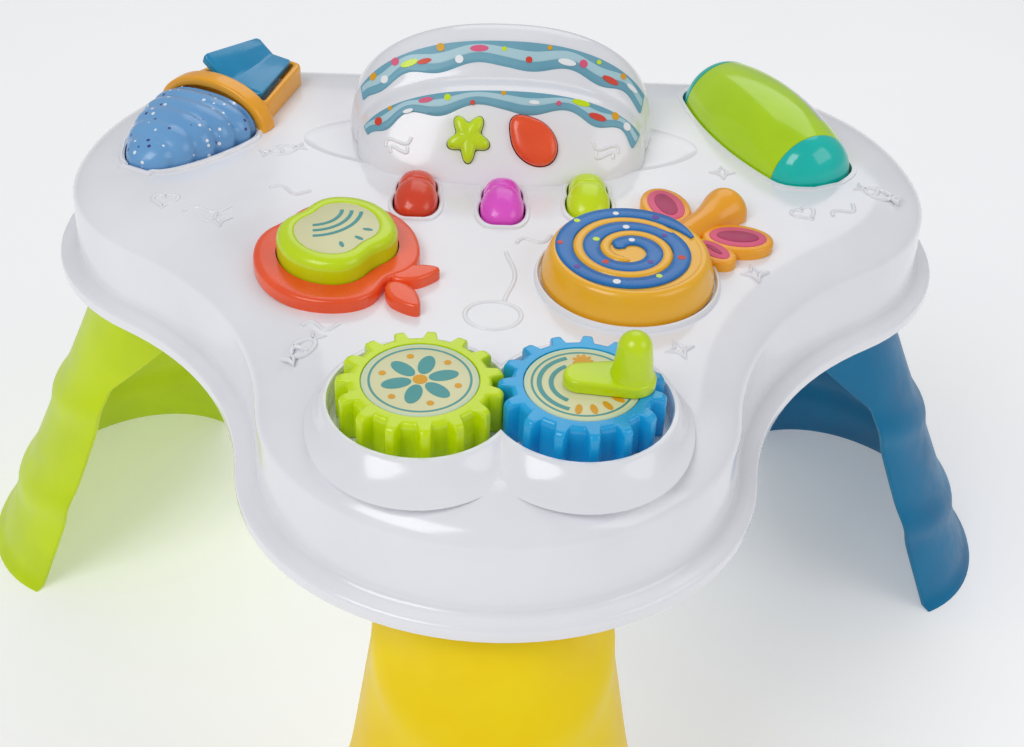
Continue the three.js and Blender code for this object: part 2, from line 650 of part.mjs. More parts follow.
function topShell() {
  let shell = cut(loft(shellLevels(0)), loft(shellLevels(shellWall)));
  const pocketFloor = deckHeight - pocket.floorDrop;
  const footAt = (angle) => pocket.footRadius + pocket.apron * Math.max(0, -Math.sin(angle)) ** 2;
  const foot = polar(footAt, wideSteps);
  const lip = polar(() => pocket.lipRadius, wideSteps);
  const between = (outer, inner) => outer.map((value, k) => inner[k] + (value - inner[k]) * pocketSlopeShare);
  const slope = foot.map((point, i) => between(point, lip[i]));
  const plateau = [
    { points: foot, z: pocketFloor - shellWall },
    { points: foot, z: deckHeight - gap },
    { points: slope, z: deckHeight + pocket.lipHeight / 2 },
    { points: lip, z: deckHeight + pocket.lipHeight },
  ];
  for (const [x, y] of gearPlaces) shell = join(shell, loft(plateau, place(x, y, 0)));
  for (const [x, y] of gearPlaces) {
    shell = cut(
      shell,
      cylinder(pocket.radius, pocketFloor, deckHeight + pocket.lipHeight + overrun, place(x, y, 0), wideSteps),
      cylinder(gear.hubRadius + gap, deckUnderside - shellWall - overrun, deckHeight, place(x, y, 0)),
    );
  }
  // Shallow dish that runs past both ends of the hood, and a thicker seat below it
  const dishY = hood.front + hood.depth * dish.placeShare;
  const oval = (halfX, halfY, z) => ({ points: ellipse(0, dishY, halfX, halfY, wideSteps), z });
  const hollow = loft([
    oval(dish.halfLength - dish.slope, dish.halfWidth - dish.slope, deckHeight - dish.depth),
    oval(dish.halfLength, dish.halfWidth, deckHeight),
    oval(dish.halfLength, dish.halfWidth, deckHeight + overrun),
  ]);
  const seatFloor = deckHeight - dish.depth - gap;
  const seatLevels = [seatFloor, deckHeight].map((z) => oval(hood.halfWidth + overrun, dish.seatHalfWidth, z));
  const below = [deckUnderside - overrun, deckUnderside + gap].map((z) => oval(hood.halfWidth, dish.halfWidth, z));
  shell = join(cut(shell, hollow), loft(seatLevels).subtract(loft(below)));
  // Collar and opening of the lollipop disc
  const lollyAt = place(lolly.x, lolly.y, 0);
  const collarTop = deckHeight + lolly.collarHeight;
  const collarInner = lolly.collarRadius - lolly.collarWall;
  shell = join(shell, cylinder(lolly.collarRadius, deckUnderside, collarTop, lollyAt, wideSteps));
  shell = cut(
    shell,
    cylinder(collarInner, deckHeight, collarTop + overrun, lollyAt, wideSteps),
    cylinder(lolly.hubRadius + gap, deckUnderside - overrun, deckHeight + overrun, lollyAt),
  );
  // Collar, opening and bearings of the drum
  const across = 5 * drum.tipAt;
  const skirt = deckUnderside - drum.collarDepth;
  const slab = block(across, across, skirt, deckHeight + drum.collarHeight, place(drum.x, drum.y, 0));
  const bearingSpan = 2 * (drum.tipAt + drum.clearance + drum.collarReach - gap);
  const bearing = block(bearingSpan, drum.bearingWidth, -3 * drum.pinRadius, drum.axisDrop, drumPlace);
  const pinReach = drum.tipAt + drum.pinLength + gap;
  const pinHole = cylinder(drum.pinRadius + gap, -pinReach, pinReach, drumPlace.clone().multiply(layAlongX));
  shell = join(shell, drumSpace(drum.clearance + drum.collarReach).intersect(slab), bearing);
  shell = cut(shell, drumSpace(drum.clearance), pinHole);
  // Openings for the keys, the apple button, the scoop and the rocker
  for (const { x, rear } of keyPlaces) {
    const lipTop = deckHeight + key.lipHeight;
    const rim = prism(keyOutline(x, rear, travelGap + key.lipWidth), deckUnderside + gap, lipTop);
    const frontAt = place(x, rear - key.lipBack - key.length, 0);
    const front = block(4 * key.halfWidth, 2 * key.length, deckUnderside, 2 * deckHeight, frontAt);
    shell = join(shell, rim.intersect(front));
  }
  for (const { x, rear } of keyPlaces) {
    shell = cut(shell, prism(keyOutline(x, rear, travelGap), deckUnderside - overrun, deckHeight + overrun));
  }
  const appleAt = place(appleButton.x, appleButton.y, 0);
  shell = cut(shell, prism(appleButtonPlan(travelGap), deckUnderside - overrun, deckHeight + overrun, appleAt));
  shell = cut(shell, prism(scoopPlan(travelGap), -shellWall - overrun, overrun, conePlace));
  // Opening under the hood's boards
  const { holeWidth, holeDepth, holeY } = hoodBoard;
  shell = cut(shell, block(holeWidth, holeDepth, deckUnderside - overrun, deckHeight + overrun, place(0, holeY, 0)));
  // Screw bosses
  for (const [x, y] of coverScrewPlaces) {
    const at = place(x, y, 0);
    shell = join(shell, cylinder(boss.radius, coverThickness + gap, deckUnderside + gap, at, 16));
    shell = cut(shell, cylinder(boss.boreRadius, 0, coverThickness + boss.boreDepth, at, 12));
  }
  return shell;
}

// Plan of the cone's frame, drawn in by an inset.
function framePlan(inset) {
  const near = cone.ringThickness / 2 + inset;
  const far = cone.frameEnd - inset;
  return [
    [-(cone.frameFar - inset), far],
    [-(cone.frameNear - inset), near],
    [cone.frameNear - inset, near],
    [cone.frameFar - inset, far],
  ];
}

function coneFrame() {
  const archOf = (halfWidth, height, foot) => [
    ...arc(0, 0, 1, 0, Math.PI, 16).map(([x, y]) => [halfWidth * x, height * y]),
    [-halfWidth, 0],
    [-halfWidth, foot],
    [halfWidth, foot],
  ];
  const along = new THREE.Matrix4().makeTranslation(0, cone.ringThickness / 2, gap).multiply(standAlongY);
  const inside = archOf(cone.ringHalfWidth - cone.ringWall, cone.ringHeight - cone.ringWall, -overrun);
  const ring = cut(
    prism(archOf(cone.ringHalfWidth, cone.ringHeight, 0).slice(0, -2), 0, cone.ringThickness, along),
    prism(inside, -overrun, cone.ringThickness + overrun, along),
  );
  const wall = cut(
    prism(framePlan(0), gap, cone.frameHeight),
    prism(framePlan(cone.frameWall), -overrun, cone.frameHeight + overrun),
  );
  const [near, far] = rockerEnds();
  const pinHole = cylinder(
    rocker.pinRadius + gap,
    -far - rocker.pinLength - gap,
    -near + rocker.pinLength + gap,
    new THREE.Matrix4().makeTranslation(0, 0, rocker.pivotHeight).multiply(standAlongY),
    16,
  );
  return cut(join(ring, wall), pinHole);
}

function scoopButton() {
  const steps = 16;
  const count = scoop.ribs * scoop.ribSteps;
  // Width and height of the plain dome at a share of the length
  const plainAt = (share) => {
    const next = Math.max(1, scoopStationShares.findIndex(([at]) => at >= share));
    const [before, after] = [scoopStationShares[next - 1], scoopStationShares[next]];
    const part = (share - before[0]) / (after[0] - before[0]);
    return [1, 2].map((k) => before[k] + (after[k] - before[k]) * part);
  };
  const levels = Array.from({ length: count + 1 }, (_, k) => {
    const share = k / count;
    const [widthShare, heightShare] = plainAt(share);
    const rib = 1 - scoop.ribShare * (1 - Math.abs(Math.sin(Math.PI * scoop.ribs * share)));
    const halfWidth = scoop.halfWidth * widthShare * rib;
    const dome = Array.from({ length: steps + 1 }, (_, i) => {
      const angle = (Math.PI * i) / steps;
      return [halfWidth * Math.cos(angle), scoop.height * heightShare * rib * Math.sin(angle)];
    });
    return { points: [...dome, [-halfWidth, -gap], [halfWidth, -gap]], z: scoop.start + share * scoop.length };
  });
  const dome = loft(levels, standAlongY);
  const top = deckUnderside - deckHeight - scoop.stem;
  return join(
    dome,
    prism(scoopPlan(0), top - scoop.flangeThickness, gap),
    prism(scoopPlan(scoop.flangeReach), top - scoop.flangeThickness, top),
  );
}

// Places along the cone where the rocker's body starts and ends.
const rockerEnds = () => [
  cone.ringThickness / 2 + cone.frameWall + rocker.endGap,
  cone.frameEnd - cone.frameWall - rocker.endGap,
];

function rockerSolid() {
  const rise = Math.tan(radians(rocker.wingRise));
  const low = rocker.valley - rocker.thickness;
  const section = (half) => [
    [0, low - 1.5 * rocker.pinRadius],
    [half, low + half * rise],
    [half, rocker.valley + half * rise],
    [0, rocker.valley],
    [-half, rocker.valley + half * rise],
    [-half, low + half * rise],
  ];
  const [near, far] = rockerEnds();
  const body = loft(
    [
      { points: section(cone.frameFar - cone.frameWall - rocker.farSideGap), z: -far },
      { points: section(cone.frameNear - cone.frameWall - rocker.nearSideGap), z: -near },
    ],
    standAlongY,
  );
  const pin = cylinder(rocker.pinRadius, -far - rocker.pinLength, -near + rocker.pinLength, standAlongY, 16);
  return join(body, pin);
}

function gearOutline(shrink) {
  const pitch = (2 * Math.PI) / gear.teeth;
  const tip = gear.tipRadius - shrink;
  const root = gear.rootRadius - shrink;
  const points = [];
  for (let i = 0; i < gear.teeth; i++) {
    const middle = pitch * (i + 0.5);
    const corner = (radius, share) => {
      const angle = middle + pitch * share;
      return [radius * Math.cos(angle), radius * Math.sin(angle)];
    };
    points.push(
      corner(root, -gear.toothRootShare),
      corner(tip, -gear.toothTipShare),
      corner(tip, gear.toothTipShare),
      corner(root, gear.toothRootShare),
    );
  }
  return points;
}

// A gear about its own axis, with Z counted from the deck's surface.
function gearSolid(withCrankSocket) {
  const levels = [
    { points: gearOutline(0), z: -gearBelow },
    { points: gearOutline(0), z: gear.height - gear.bevel },
    { points: gearOutline(gear.bevel), z: gear.height },
  ];
  const low = gearHubEnd;
  const hollow = cut(
    cylinder(gear.hollowOuter, -gearBelow - overrun, gear.hollowDepth - gearBelow),
    cylinder(gear.hollowInner, -gearBelow - 2 * overrun, gear.hollowDepth),
  );
  let body = join(loft(levels), cylinder(gear.hubRadius, low, 0));
  body = cut(
    body,
    hollow,
    cylinder(gear.labelRadius + gap, gear.height - gear.labelRecess, gear.height + overrun, null, wideSteps),
    cylinder(retainer.pilot, low - overrun, low + retainer.screwLength),
  );
  const socketFloor = gear.height - crank.bossLength;
  return withCrankSocket ? cut(body, cylinder(crank.bossRadius + gap, socketFloor, gear.height)) : body;
}

function gearLabel(withHole) {
  const low = gear.height - gear.labelRecess + gap;
  const disc = cylinder(gear.labelRadius, low, low + gear.labelThickness, null, wideSteps);
  return withHole ? cut(disc, cylinder(crank.bossRadius + gap, low - overrun, low + overrun)) : disc;
}

function crankArm() {
  const low = gear.height + gap;
  const end = Math.PI / 2;
  const plan = [
    ...arc(crank.reach, 0, crank.knobEnd, -end, end, 10),
    [crank.reach, crank.knobEnd],
    ...arc(-crank.tail, 0, crank.hubEnd, end, 3 * end, 10),
    [-crank.tail, -crank.hubEnd],
  ];
  const top = low + crank.thickness;
  const round = Array.from({ length: 5 }, (_, i) => {
    const angle = (Math.PI / 2) * (i / 4);
    const { knobTopRadius: radius, knobHeight } = crank;
    return [radius * Math.cos(angle), knobHeight - radius * (1 - Math.sin(angle))];
  });
  const profile = [[0, -gap], [crank.knobRadius, -gap], [crank.knobRadius - gap, crank.thickness], ...round];
  const knob = turned(profile.map(([r, z]) => [r, top + z]), place(crank.reach, 0, 0));
  const bossEnd = gear.height - crank.bossLength + gap;
  return join(prism(plan, low, top), knob, cylinder(crank.bossRadius, bossEnd, low + gap));
}

// Washer and screw that hold a turning piece from below, with Z counted from the hub's lower end.
const washer = () =>
  cut(
    cylinder(retainer.radius, -retainer.thickness - gap, -gap),
    cylinder(retainer.pilot, -retainer.thickness * 2, overrun, null, 12),
  );

function retainerScrew() {
  const seat = -retainer.thickness - 2 * gap;
  return join(
    cylinder(retainer.headRadius, seat - retainer.headHeight, seat, null, 16),
    cylinder(screw.shaftRadius, seat - gap, retainer.screwLength - screwEndGap, null, 12),
  );
}

function coverScrew(length) {
  return join(
    cylinder(screw.headRadius, 0, screw.headHeight, null, 16),
    cylinder(screw.shaftRadius, screw.headHeight - gap, length, null, 12),
  );
}

function lollyDisc() {
  const { radius, topRadius, top } = lolly;
  const profile = [
    [0, gap], [radius - gap, gap], [radius, top * 0.2], [radius - (radius - topRadius) * 0.3, top * 0.62],
    [topRadius + gap, top * 0.93], [topRadius - gap * 3, top], [0, top],
  ];
  const low = lollyHubEnd;
  return cut(
    join(turned(profile, null, wideSteps), cylinder(lolly.hubRadius, low, top / 2)),
    cylinder(retainer.pilot, low - overrun, low + retainer.screwLength),
  );
}

// The spiral track that lies on the disc.
function lollySpiral() {
  const { spiralStart, spiralEnd, spiralTurns, spiralWidth, spiralSteps, top } = lolly;
  const at = (i, side) => {
    const share = i / spiralSteps;
    const angle = 2 * Math.PI * spiralTurns * share;
    const taper = Math.min(1, (spiralSteps - i) / 4 + 0.3, i / 4 + 0.3);
    const radius = spiralStart + (spiralEnd - spiralStart) * share + (side * spiralWidth * taper) / 2;
    return [radius * Math.cos(angle), radius * Math.sin(angle)];
  };
  const steps = Array.from({ length: spiralSteps + 1 }, (_, i) => i);
  const outline = [...steps.map((i) => at(i, 1)), ...steps.reverse().map((i) => at(i, -1))];
  return prism(outline, top + gap, top + gap + lolly.spiralThickness);
}

// Stick with its knob and the bow, drawn along +X from the disc's centre.
function lollyStick() {
  const start = lolly.collarRadius + gap - overrun;
  const length = lolly.stickLength;
  const profile = [
    [0, 0], [lolly.stickRadius * 0.9, 0], [lolly.stickRadius, length * 0.2],
    [lolly.stickRadius * 1.02, length * 0.5],
    [lolly.knobRadius * 0.88, length * 0.7], [lolly.knobRadius, length * 0.84],
    [lolly.knobRadius * 0.86, length * 0.95], [lolly.knobRadius * 0.4, length], [0, length],
  ];
  const along = new THREE.Matrix4().makeTranslation(start, 0, lolly.stickRise).multiply(layAlongX);
  let body = turned(profile, along);
  const loops = [[bow.reach, bow.turn, 1], [bow.smallReach, bow.smallTurn, bowSmallShare]];
  for (const side of [-1, 1]) {
    for (const [reach, turn, share] of loops) {
      const size = bow.length * share;
      const across = lolly.stickRadius * bowTieShare + size * Math.sin(radians(turn));
      const loop = ellipse(0, 0, size, bow.width * share);
      body = join(body, prism(loop, gap, bow.height, place(reach, side * across, 0, side * turn)));
    }
  }
  const wide = 4 * (start + length);
  const below = block(wide, wide, -2 * lolly.knobRadius, gap);
  return cut(body, below, cylinder(lolly.collarRadius + gap, -overrun, 2 * lolly.top, null, wideSteps));
}

function appleBase() {
  const { height, edge } = apple;
  const levels = [
    { points: applePlan(0), z: gap },
    { points: applePlan(0), z: height - edge },
    { points: applePlan(edge), z: height },
  ];
  let body = loft(levels);
  for (const { reach, azimuth, turn } of leafPlaces) {
    const at = place(reach * Math.cos(radians(azimuth)), reach * Math.sin(radians(azimuth)), 0, turn);
    body = join(body, prism(ellipse(0, 0, apple.leafLength, apple.leafWidth), gap, apple.leafHeight, at));
  }
  const stalkAt = place(0, 0, 0, apple.stemAngle).multiply(place(apple.stalkReach, 0, 0));
  const stalk = cylinder(apple.stalkRadius, gap, apple.leafHeight, stalkAt);
  const opening = prism(
    appleButtonPlan(travelGap),
    -overrun,
    height + overrun,
    place(appleButton.x - apple.x, appleButton.y - apple.y, 0),
  );
  return cut(join(body, stalk), opening);
}

function appleButtonSolid() {
  const { top, edge, wall, flangeReach: reach, flangeThickness } = appleButton;
  const seat = deckUnderside - deckHeight - 2 * gap;
  const body = loft([
    { points: appleButtonPlan(0), z: seat - flangeThickness },
    { points: appleButtonPlan(0), z: top - edge },
    { points: appleButtonPlan(-edge * 0.35), z: top - edge * 0.35 },
    { points: appleButtonPlan(-edge), z: top },
  ]);
  const hollow = prism(appleButtonPlan(-wall), seat - flangeThickness - overrun, top - edge - wall);
  const flange = prism(appleButtonPlan(reach), seat - flangeThickness, seat);
  const stemEnd = boardTop + applePad.height + 2 * gap + appleButton.travel - deckHeight;
  const stem = cylinder(appleButton.stemRadius, stemEnd, top - edge - wall + gap);
  return join(cut(join(body, flange), hollow), stem);
}

function appleLabel() {
  const plan = appleButtonPlan(0).map(([x, y]) => [x * appleButton.labelShare, y * appleButton.labelShare]);
  return prism(plan, appleButton.top + gap, appleButton.top + gap + appleButton.labelThickness);
}

function drumTube(from, to) {
  const outer = drumProfile(0, from, to);
  const inner = drumProfile(-drum.wall, from, to);
  const mirror = (profile) => profile.slice(1).reverse().map(([r, at]) => [r, -at]);
  const profile = [...mirror(outer), ...outer, ...inner.slice().reverse(), ...mirror(inner).reverse()];
  return turned([...profile, profile[0]], null, wideSteps);
}

// Wedge of space for the clear strip, about the drum's own axis along Z.
function drumWedge(inset) {
  const reach = drum.radius * 2;
  const half = radians(drum.windowHalfAngle) - inset / drum.radius;
  const edge = [reach * Math.cos(half), reach * Math.sin(half)];
  const points = [[0, 0], [edge[0], -edge[1]], edge];
  const turn = new THREE.Matrix4().makeRotationZ(radians(drum.windowAngle + 180));
  return prism(points, -drum.windowAt + inset, drum.windowAt - inset, turn);
}

function drumCap() {
  const outer = drumProfile(0, drum.jointAt, drum.tipAt).map(([r, at], i) => [r, i === 0 ? at + gap : at]);
  const pinEnd = drum.tipAt + drum.pinLength;
  const spigot = drum.jointRadius - drum.wall - gap;
  const back = drum.jointAt - drum.wall * 2;
  return turned([
    [0, back], [spigot - drum.wall, back], [spigot - drum.wall / 2, drum.jointAt], ...outer,
    [drum.pinRadius, drum.tipAt], [drum.pinRadius, pinEnd], [0, pinEnd],
  ], null, wideSteps);
}

function hoodShell() {
  const wide = 4 * hood.halfWidth;
  const foot = deckHeight + gap;
  const flatBase = block(wide, wide, foot - hood.height, foot);
  let shell = cut(hoodSpace(0), hoodSpace(-hood.wall), flatBase);
  for (const [plan, data] of [[starPlan, star], [balloonPlan, balloon]]) {
    shell = cut(shell, prism(plan(travelGap), -hood.wall * 4, overrun * 4, panelPlace(data)));
  }
  for (const { x, rear } of keyPlaces) {
    const at = new THREE.Matrix4().makeTranslation(x, rear, deckHeight).multiply(standAlongY);
    shell = cut(shell, loft(keyLevels(travelGap, -overrun), at));
  }
  return shell;
}

function hoodBand({ fromShare, toShare, lowShare }) {
  const skin = cut(hoodSpace(gap + hood.bandThickness), hoodSpace(gap));
  const from = hood.front + hood.depth * fromShare;
  const to = hood.front + hood.depth * toShare;
  const low = deckHeight + hood.height * lowShare;
  const high = deckHeight + 2 * hood.height;
  const region = block(4 * hood.halfWidth, to - from, low, high, place(0, (from + to) / 2, 0));
  return skin.intersect(region);
}

// A button of the hood's panel: an outlined cap, a stem and a flange behind the wall.
function panelButton(plan, { proud, stem }) {
  const flangeTop = -hood.wall - stem;
  return join(
    loft([
      { points: plan(0), z: flangeTop - panelFlange.thickness },
      { points: plan(0), z: proud - panelBevel },
      { points: plan(-panelBevel), z: proud },
    ]),
    prism(plan(panelFlange.reach), flangeTop - panelFlange.thickness, flangeTop),
  );
}

// A key about its rear pivot, with Z counted from the pivot.
function keySolid() {
  const toPivot = new THREE.Matrix4().makeTranslation(0, key.pivotBack, key.pivotDrop).multiply(standAlongY);
  const base = block(
    2 * key.baseHalfWidth,
    key.length - 2 * key.pivotBack,
    key.pivotDrop - key.below,
    key.pivotDrop - shellWall,
    place(0, 1.5 * key.pivotBack - key.length / 2, 0),
  );
  const pin = cylinder(key.pinRadius, -key.pinHalfLength, key.pinHalfLength, layAlongX, 16);
  const stem = block(2 * key.baseHalfWidth, 2 * key.pinRadius, -key.pinRadius, key.pivotDrop);
  return join(loft(keyLevels(0, -shellWall - gap), toPivot), base, pin, stem);
}

// Bracket with a pair of ears for each key.
function keyBracketSolid() {
  const { halfWidth, near, far, drop, thickness, postRadius } = keyBracket;
  const low = deckHeight - drop;
  let body = block(2 * halfWidth, far - near, low, low + thickness, place(0, (near + far) / 2, 0));
  for (const { x, rear } of keyPlaces) {
    const pivot = rear - key.pivotBack;
    const height = deckHeight - key.pivotDrop + key.pinRadius + key.earMargin;
    for (const side of [-1, 1]) {
      const at = place(x + side * (key.baseHalfWidth + travelGap + key.earThickness / 2), pivot, 0);
      body = join(body, block(key.earThickness, key.pinRadius * 4, low, height, at));
    }
    const bore = new THREE.Matrix4().makeTranslation(x, pivot, deckHeight - key.pivotDrop).multiply(layAlongX);
    body = cut(body, cylinder(key.pinRadius + gap, -halfWidth / 4, halfWidth / 4, bore, 16));
  }
  for (const x of [-halfWidth / 2.8, halfWidth / 2.8]) {
    body = join(body, cylinder(postRadius, low, deckUnderside - gap, place(x, far - postRadius, 0), 16));
  }
  return body;
}

// Rubber strip with a dome under the front of each key.
function keyPadSolid() {
  const low = deckHeight - keyBracket.drop + keyBracket.thickness + gap;
  const middle = keyBracket.near + keyPad.length / 2;
  let body = block(2 * keyPad.halfWidth, keyPad.length, low, low + keyPad.thickness, place(0, middle, 0));
  for (const { x } of keyPlaces) {
    const top = low + keyPad.thickness + keyPad.domeHeight;
    body = join(body, cylinder(keyPad.domeRadius, low, top, place(x, middle, 0), 12));
  }
  return body;
}

// One C section of a leg at a depth below the rim, outer face first and then the inner one.
function legSection(depth) {
  const steps = leg.arcSteps;
  const centre = leg.splayShare * depth;
  const base = leg.topRadius + leg.spreadShare * depth;
  const widen = 1 + (leg.widenShare * depth) / legHeight;
  const lip = leg.lip * Math.max(0, 1 - (legHeight - depth) / leg.lipHeight);
  const web = Math.max(leg.webEnd, leg.webReach * (1 - (depth / leg.webDepth) ** 1.4 || 0));
  const side = (extra, wall) =>
    Array.from({ length: steps + 1 }, (_, i) => {
      const angle = -Math.PI / 2 + (Math.PI * i) / steps;
      const level = depth - leg.ridgeDroop * Math.cos(angle);
      const rise = (at) => leg.ridge * Math.exp(-(((level - at) / leg.ridgeWidth) ** 2));
      const ridge = ridgeDepths.reduce((sum, at) => sum + rise(at), 0);
      const radius = base + ridge + extra - wall;
      return [centre + radius * Math.cos(angle), widen * radius * Math.sin(angle)];
    });
  const outer = side(lip, 0);
  const inner = side(0, leg.wall).reverse();
  const webOf = ([x, y]) => [x - web, y];
  return [webOf(outer[0]), ...outer, webOf(outer.at(-1)), webOf(inner[0]), ...inner, webOf(inner.at(-1))];
}

// A leg about its tenon, with Z counted up from the rim's lower edge.
function legSolid() {
  const between = legSectionShares.map((share) => share * legHeight);
  const depths = [gap, ...between, legHeight - leg.lipHeight, legHeight];
  const levels = depths.map((depth) => ({ points: legSection(depth), z: -depth })).reverse();
  const outer = legSection(gap).slice(0, leg.arcSteps + 3);
  const plate = prism(outer, -leg.plate - gap, -gap);
  const tenon = block(leg.tenonWidth, leg.tenonLength, -leg.plate, leg.tenonHeight);
  return join(loft(levels), plate, tenon);
}

const legMatrix = ({ distance, azimuth }) =>
  place(distance * Math.cos(radians(azimuth)), distance * Math.sin(radians(azimuth)), 0, azimuth);

const batteryInside = {
  width: battery.length + battery.tipLength + 2 * contact.rise + 4 * batteryBox.side,
  depth: 3 * battery.pitch + 2 * batteryBox.side,
  height: 2 * (battery.radius + gap),
};
const doorRear = batteryInside.depth / 2 + batteryDoor.lap;
const doorFront = -batteryInside.depth / 2 - batteryDoor.frontLap;
const doorScrewAt = place(batteryBox.x, batteryBox.y - batteryInside.depth / 2 - batteryDoor.frontLap / 2, 0);
const doorSpace = (inset, low, high) =>
  block(
    batteryInside.width + 2 * batteryDoor.lap - 2 * inset,
    doorRear - doorFront - 2 * inset,
    low,
    high,
    place(batteryBox.x, batteryBox.y + (doorRear + doorFront) / 2, 0),
  );

function bottomCover() {
  let cover = prism(trefoil(flangeReach + shellWall + gap), 0, coverThickness);
  // Leg sockets
  for (const spot of legPlaces) {
    const at = legMatrix(spot);
    const inner = [leg.tenonWidth + 2 * gap, leg.tenonLength + 2 * gap];
    const outer = inner.map((size) => size + 2 * leg.socketWall);
    cover = join(cover, block(outer[0], outer[1], 0, leg.tenonHeight + leg.socketWall + gap, at));
    cover = cut(cover, block(inner[0], inner[1], -overrun, leg.tenonHeight + gap, at));
  }
  // Battery tray, open below
  const trayAt = place(batteryBox.x, batteryBox.y, 0);
  const { wall } = batteryBox;
  const { width, depth, height } = batteryInside;
  const { thickness, bossHeight } = batteryDoor;
  cover = join(
    cover,
    block(width + 2 * wall, depth + 2 * wall, 0, thickness + height + wall, trayAt),
    doorSpace(-wall, 0, coverThickness + thickness),
    cylinder(boss.radius, 0, coverThickness + bossHeight, doorScrewAt, 16),
  );
  cover = cut(
    cover,
    block(width, depth, -overrun, thickness + height, trayAt),
    doorSpace(0, -overrun, thickness + gap),
    cylinder(boss.boreRadius, 0, bossHeight + thickness, doorScrewAt, 12),
  );
  // Post under the scoop's pad, on top of the left leg's socket
  const scoopAt = conePlace.clone().multiply(place(0, -scoop.start - scoop.length / 2, -deckHeight));
  const socketTop = leg.tenonHeight + gap + leg.socketWall;
  cover = join(cover, cylinder(scoopPad.postRadius, socketTop - gap, scoopPadSeat, scoopAt, 16));
  // Board posts, screw holes with head recesses, speaker grille and switch slot
  for (const [sx, sy] of [[-1, -1], [1, -1], [-1, 1], [1, 1]]) {
    const postX = board.x + sx * (board.width / 2 - board.inset);
    const at = place(postX, board.y + sy * (board.depth / 2 - board.inset), 0);
    cover = join(cover, cylinder(board.postRadius, 0, board.seat, at, 12));
  }
  for (const [x, y] of coverScrewPlaces) {
    const at = place(x, y, 0);
    cover = cut(
      cover,
      cylinder(screw.holeRadius, -overrun, coverThickness + overrun, at, 12),
      cylinder(screw.headRadius + gap, -overrun, screw.headHeight + gap, at, 16),
    );
  }
  for (let i = 0; i < grille.holes; i++) {
    const angle = (360 / grille.holes) * i;
    const at = place(speaker.x, speaker.y, 0, angle).multiply(place(speaker.radius / 2, 0, 0));
    cover = cut(cover, cylinder(grille.holeRadius, -overrun, coverThickness + overrun, at, 10));
  }
  const slot = block(powerSwitch.knobWidth + powerSwitch.travel + 2 * gap, powerSwitch.knobDepth + 2 * gap,
    -overrun, coverThickness + overrun, place(powerSwitch.x, powerSwitch.y, 0));
  return cut(cover, slot);
}

function batteryDoorSolid() {
  return cut(
    doorSpace(gap, 0, batteryDoor.thickness),
    cylinder(screw.holeRadius, -overrun, batteryDoor.thickness + overrun, doorScrewAt, 12),
    cylinder(screw.headRadius + gap, -overrun, screw.headHeight + gap, doorScrewAt, 16),
  );
}

function batteryCell() {
  const { radius, length, tipRadius, tipLength } = battery;
  const end = length + tipLength;
  const profile = [[0, 0], [radius, 0], [radius, length], [tipRadius, length], [tipRadius, end], [0, end]];
  return turned(profile, layAlongX, roundSteps);
}

// Plate at one end of the tray with a raised contact for each cell.
function batteryContact(side) {
  const { height } = batteryInside;
  const plate = block(contact.thickness, batteryInside.depth - 2 * gap, gap, height - gap);
  return [-1, 0, 1].reduce((body, i) => {
    const along = new THREE.Matrix4().makeTranslation(0, i * battery.pitch, height / 2).multiply(layAlongX);
    const profile = [[0, 0], [contact.base, 0], [contact.tip, contact.rise - gap], [0, contact.rise - gap]];
    if (side > 0) along.multiply(new THREE.Matrix4().makeRotationX(Math.PI));
    const bump = turned(profile, along, 12);
    return join(body, bump);
  }, plate);
}

function speakerBasket() {
  const { radius, height, magnetRadius, wall, coneDepth } = speaker;
  return turned([
    [0, height], [magnetRadius, height], [magnetRadius, height * 0.55],
    [radius - wall, wall * 1.6], [radius, wall * 1.6],
    [radius, 0], [radius - wall * 1.6, 0], [radius - wall * 2, coneDepth * 0.4],
    [magnetRadius * 0.5, coneDepth + wall], [0, coneDepth + wall],
  ].reverse());
}

function speakerCone() {
  const { radius, wall, coneDepth } = speaker;
  const edge = radius - wall * 2.4;
  return turned([
    [0, coneDepth - wall], [edge * 0.35, coneDepth - wall * 0.8], [edge, wall * 0.12],
    [edge, wall * 0.4], [edge * 0.4, coneDepth], [0, coneDepth + gap],
  ]);
}

// The scene: every piece is a named mesh
const table = new THREE.Group();
const top = new THREE.Group();
top.position.z = legHeight;
table.add(top);

function add(parent, name, body, material, position = [0, 0, 0], turn = 0) {
  const mesh = new THREE.Mesh(geometryOf(body), material);
  mesh.name = name;
  mesh.position.set(...position);
  mesh.rotation.z = radians(turn);
  parent.add(mesh);
  return mesh;
}

function group(parent, x, y, z, angle = 0) {
  const made = new THREE.Group();
  made.position.set(x, y, z);
  made.rotation.z = radians(angle);
  parent.add(made);
  return made;
}

add(top, "top_shell", topShell(), materials.white);
add(top, "bottom_cover", bottomCover(), materials.white);
add(top, "hood_shell", hoodShell(), materials.white);
add(top, "hood_rear_band", hoodBand(rearBand), materials.print);
add(top, "hood_front_band", hoodBand(frontBand), materials.print);

[["left", materials.lime, false], ["right", materials.blue, true]].forEach(([side, material, driven], i) => {
  const [x, y] = gearPlaces[i];
  const assembly = group(top, x, y, deckHeight);
  add(assembly, `gear_${side}`, gearSolid(driven), material);
  add(assembly, `gear_${side}_label`, gearLabel(driven), materials.label);
  add(assembly, `gear_${side}_washer`, washer(), materials.white, [0, 0, gearHubEnd]);
  add(assembly, `gear_${side}_screw`, retainerScrew(), materials.steel, [0, 0, gearHubEnd]);
  if (driven) add(assembly, "crank_arm", crankArm(), materials.lime);
});

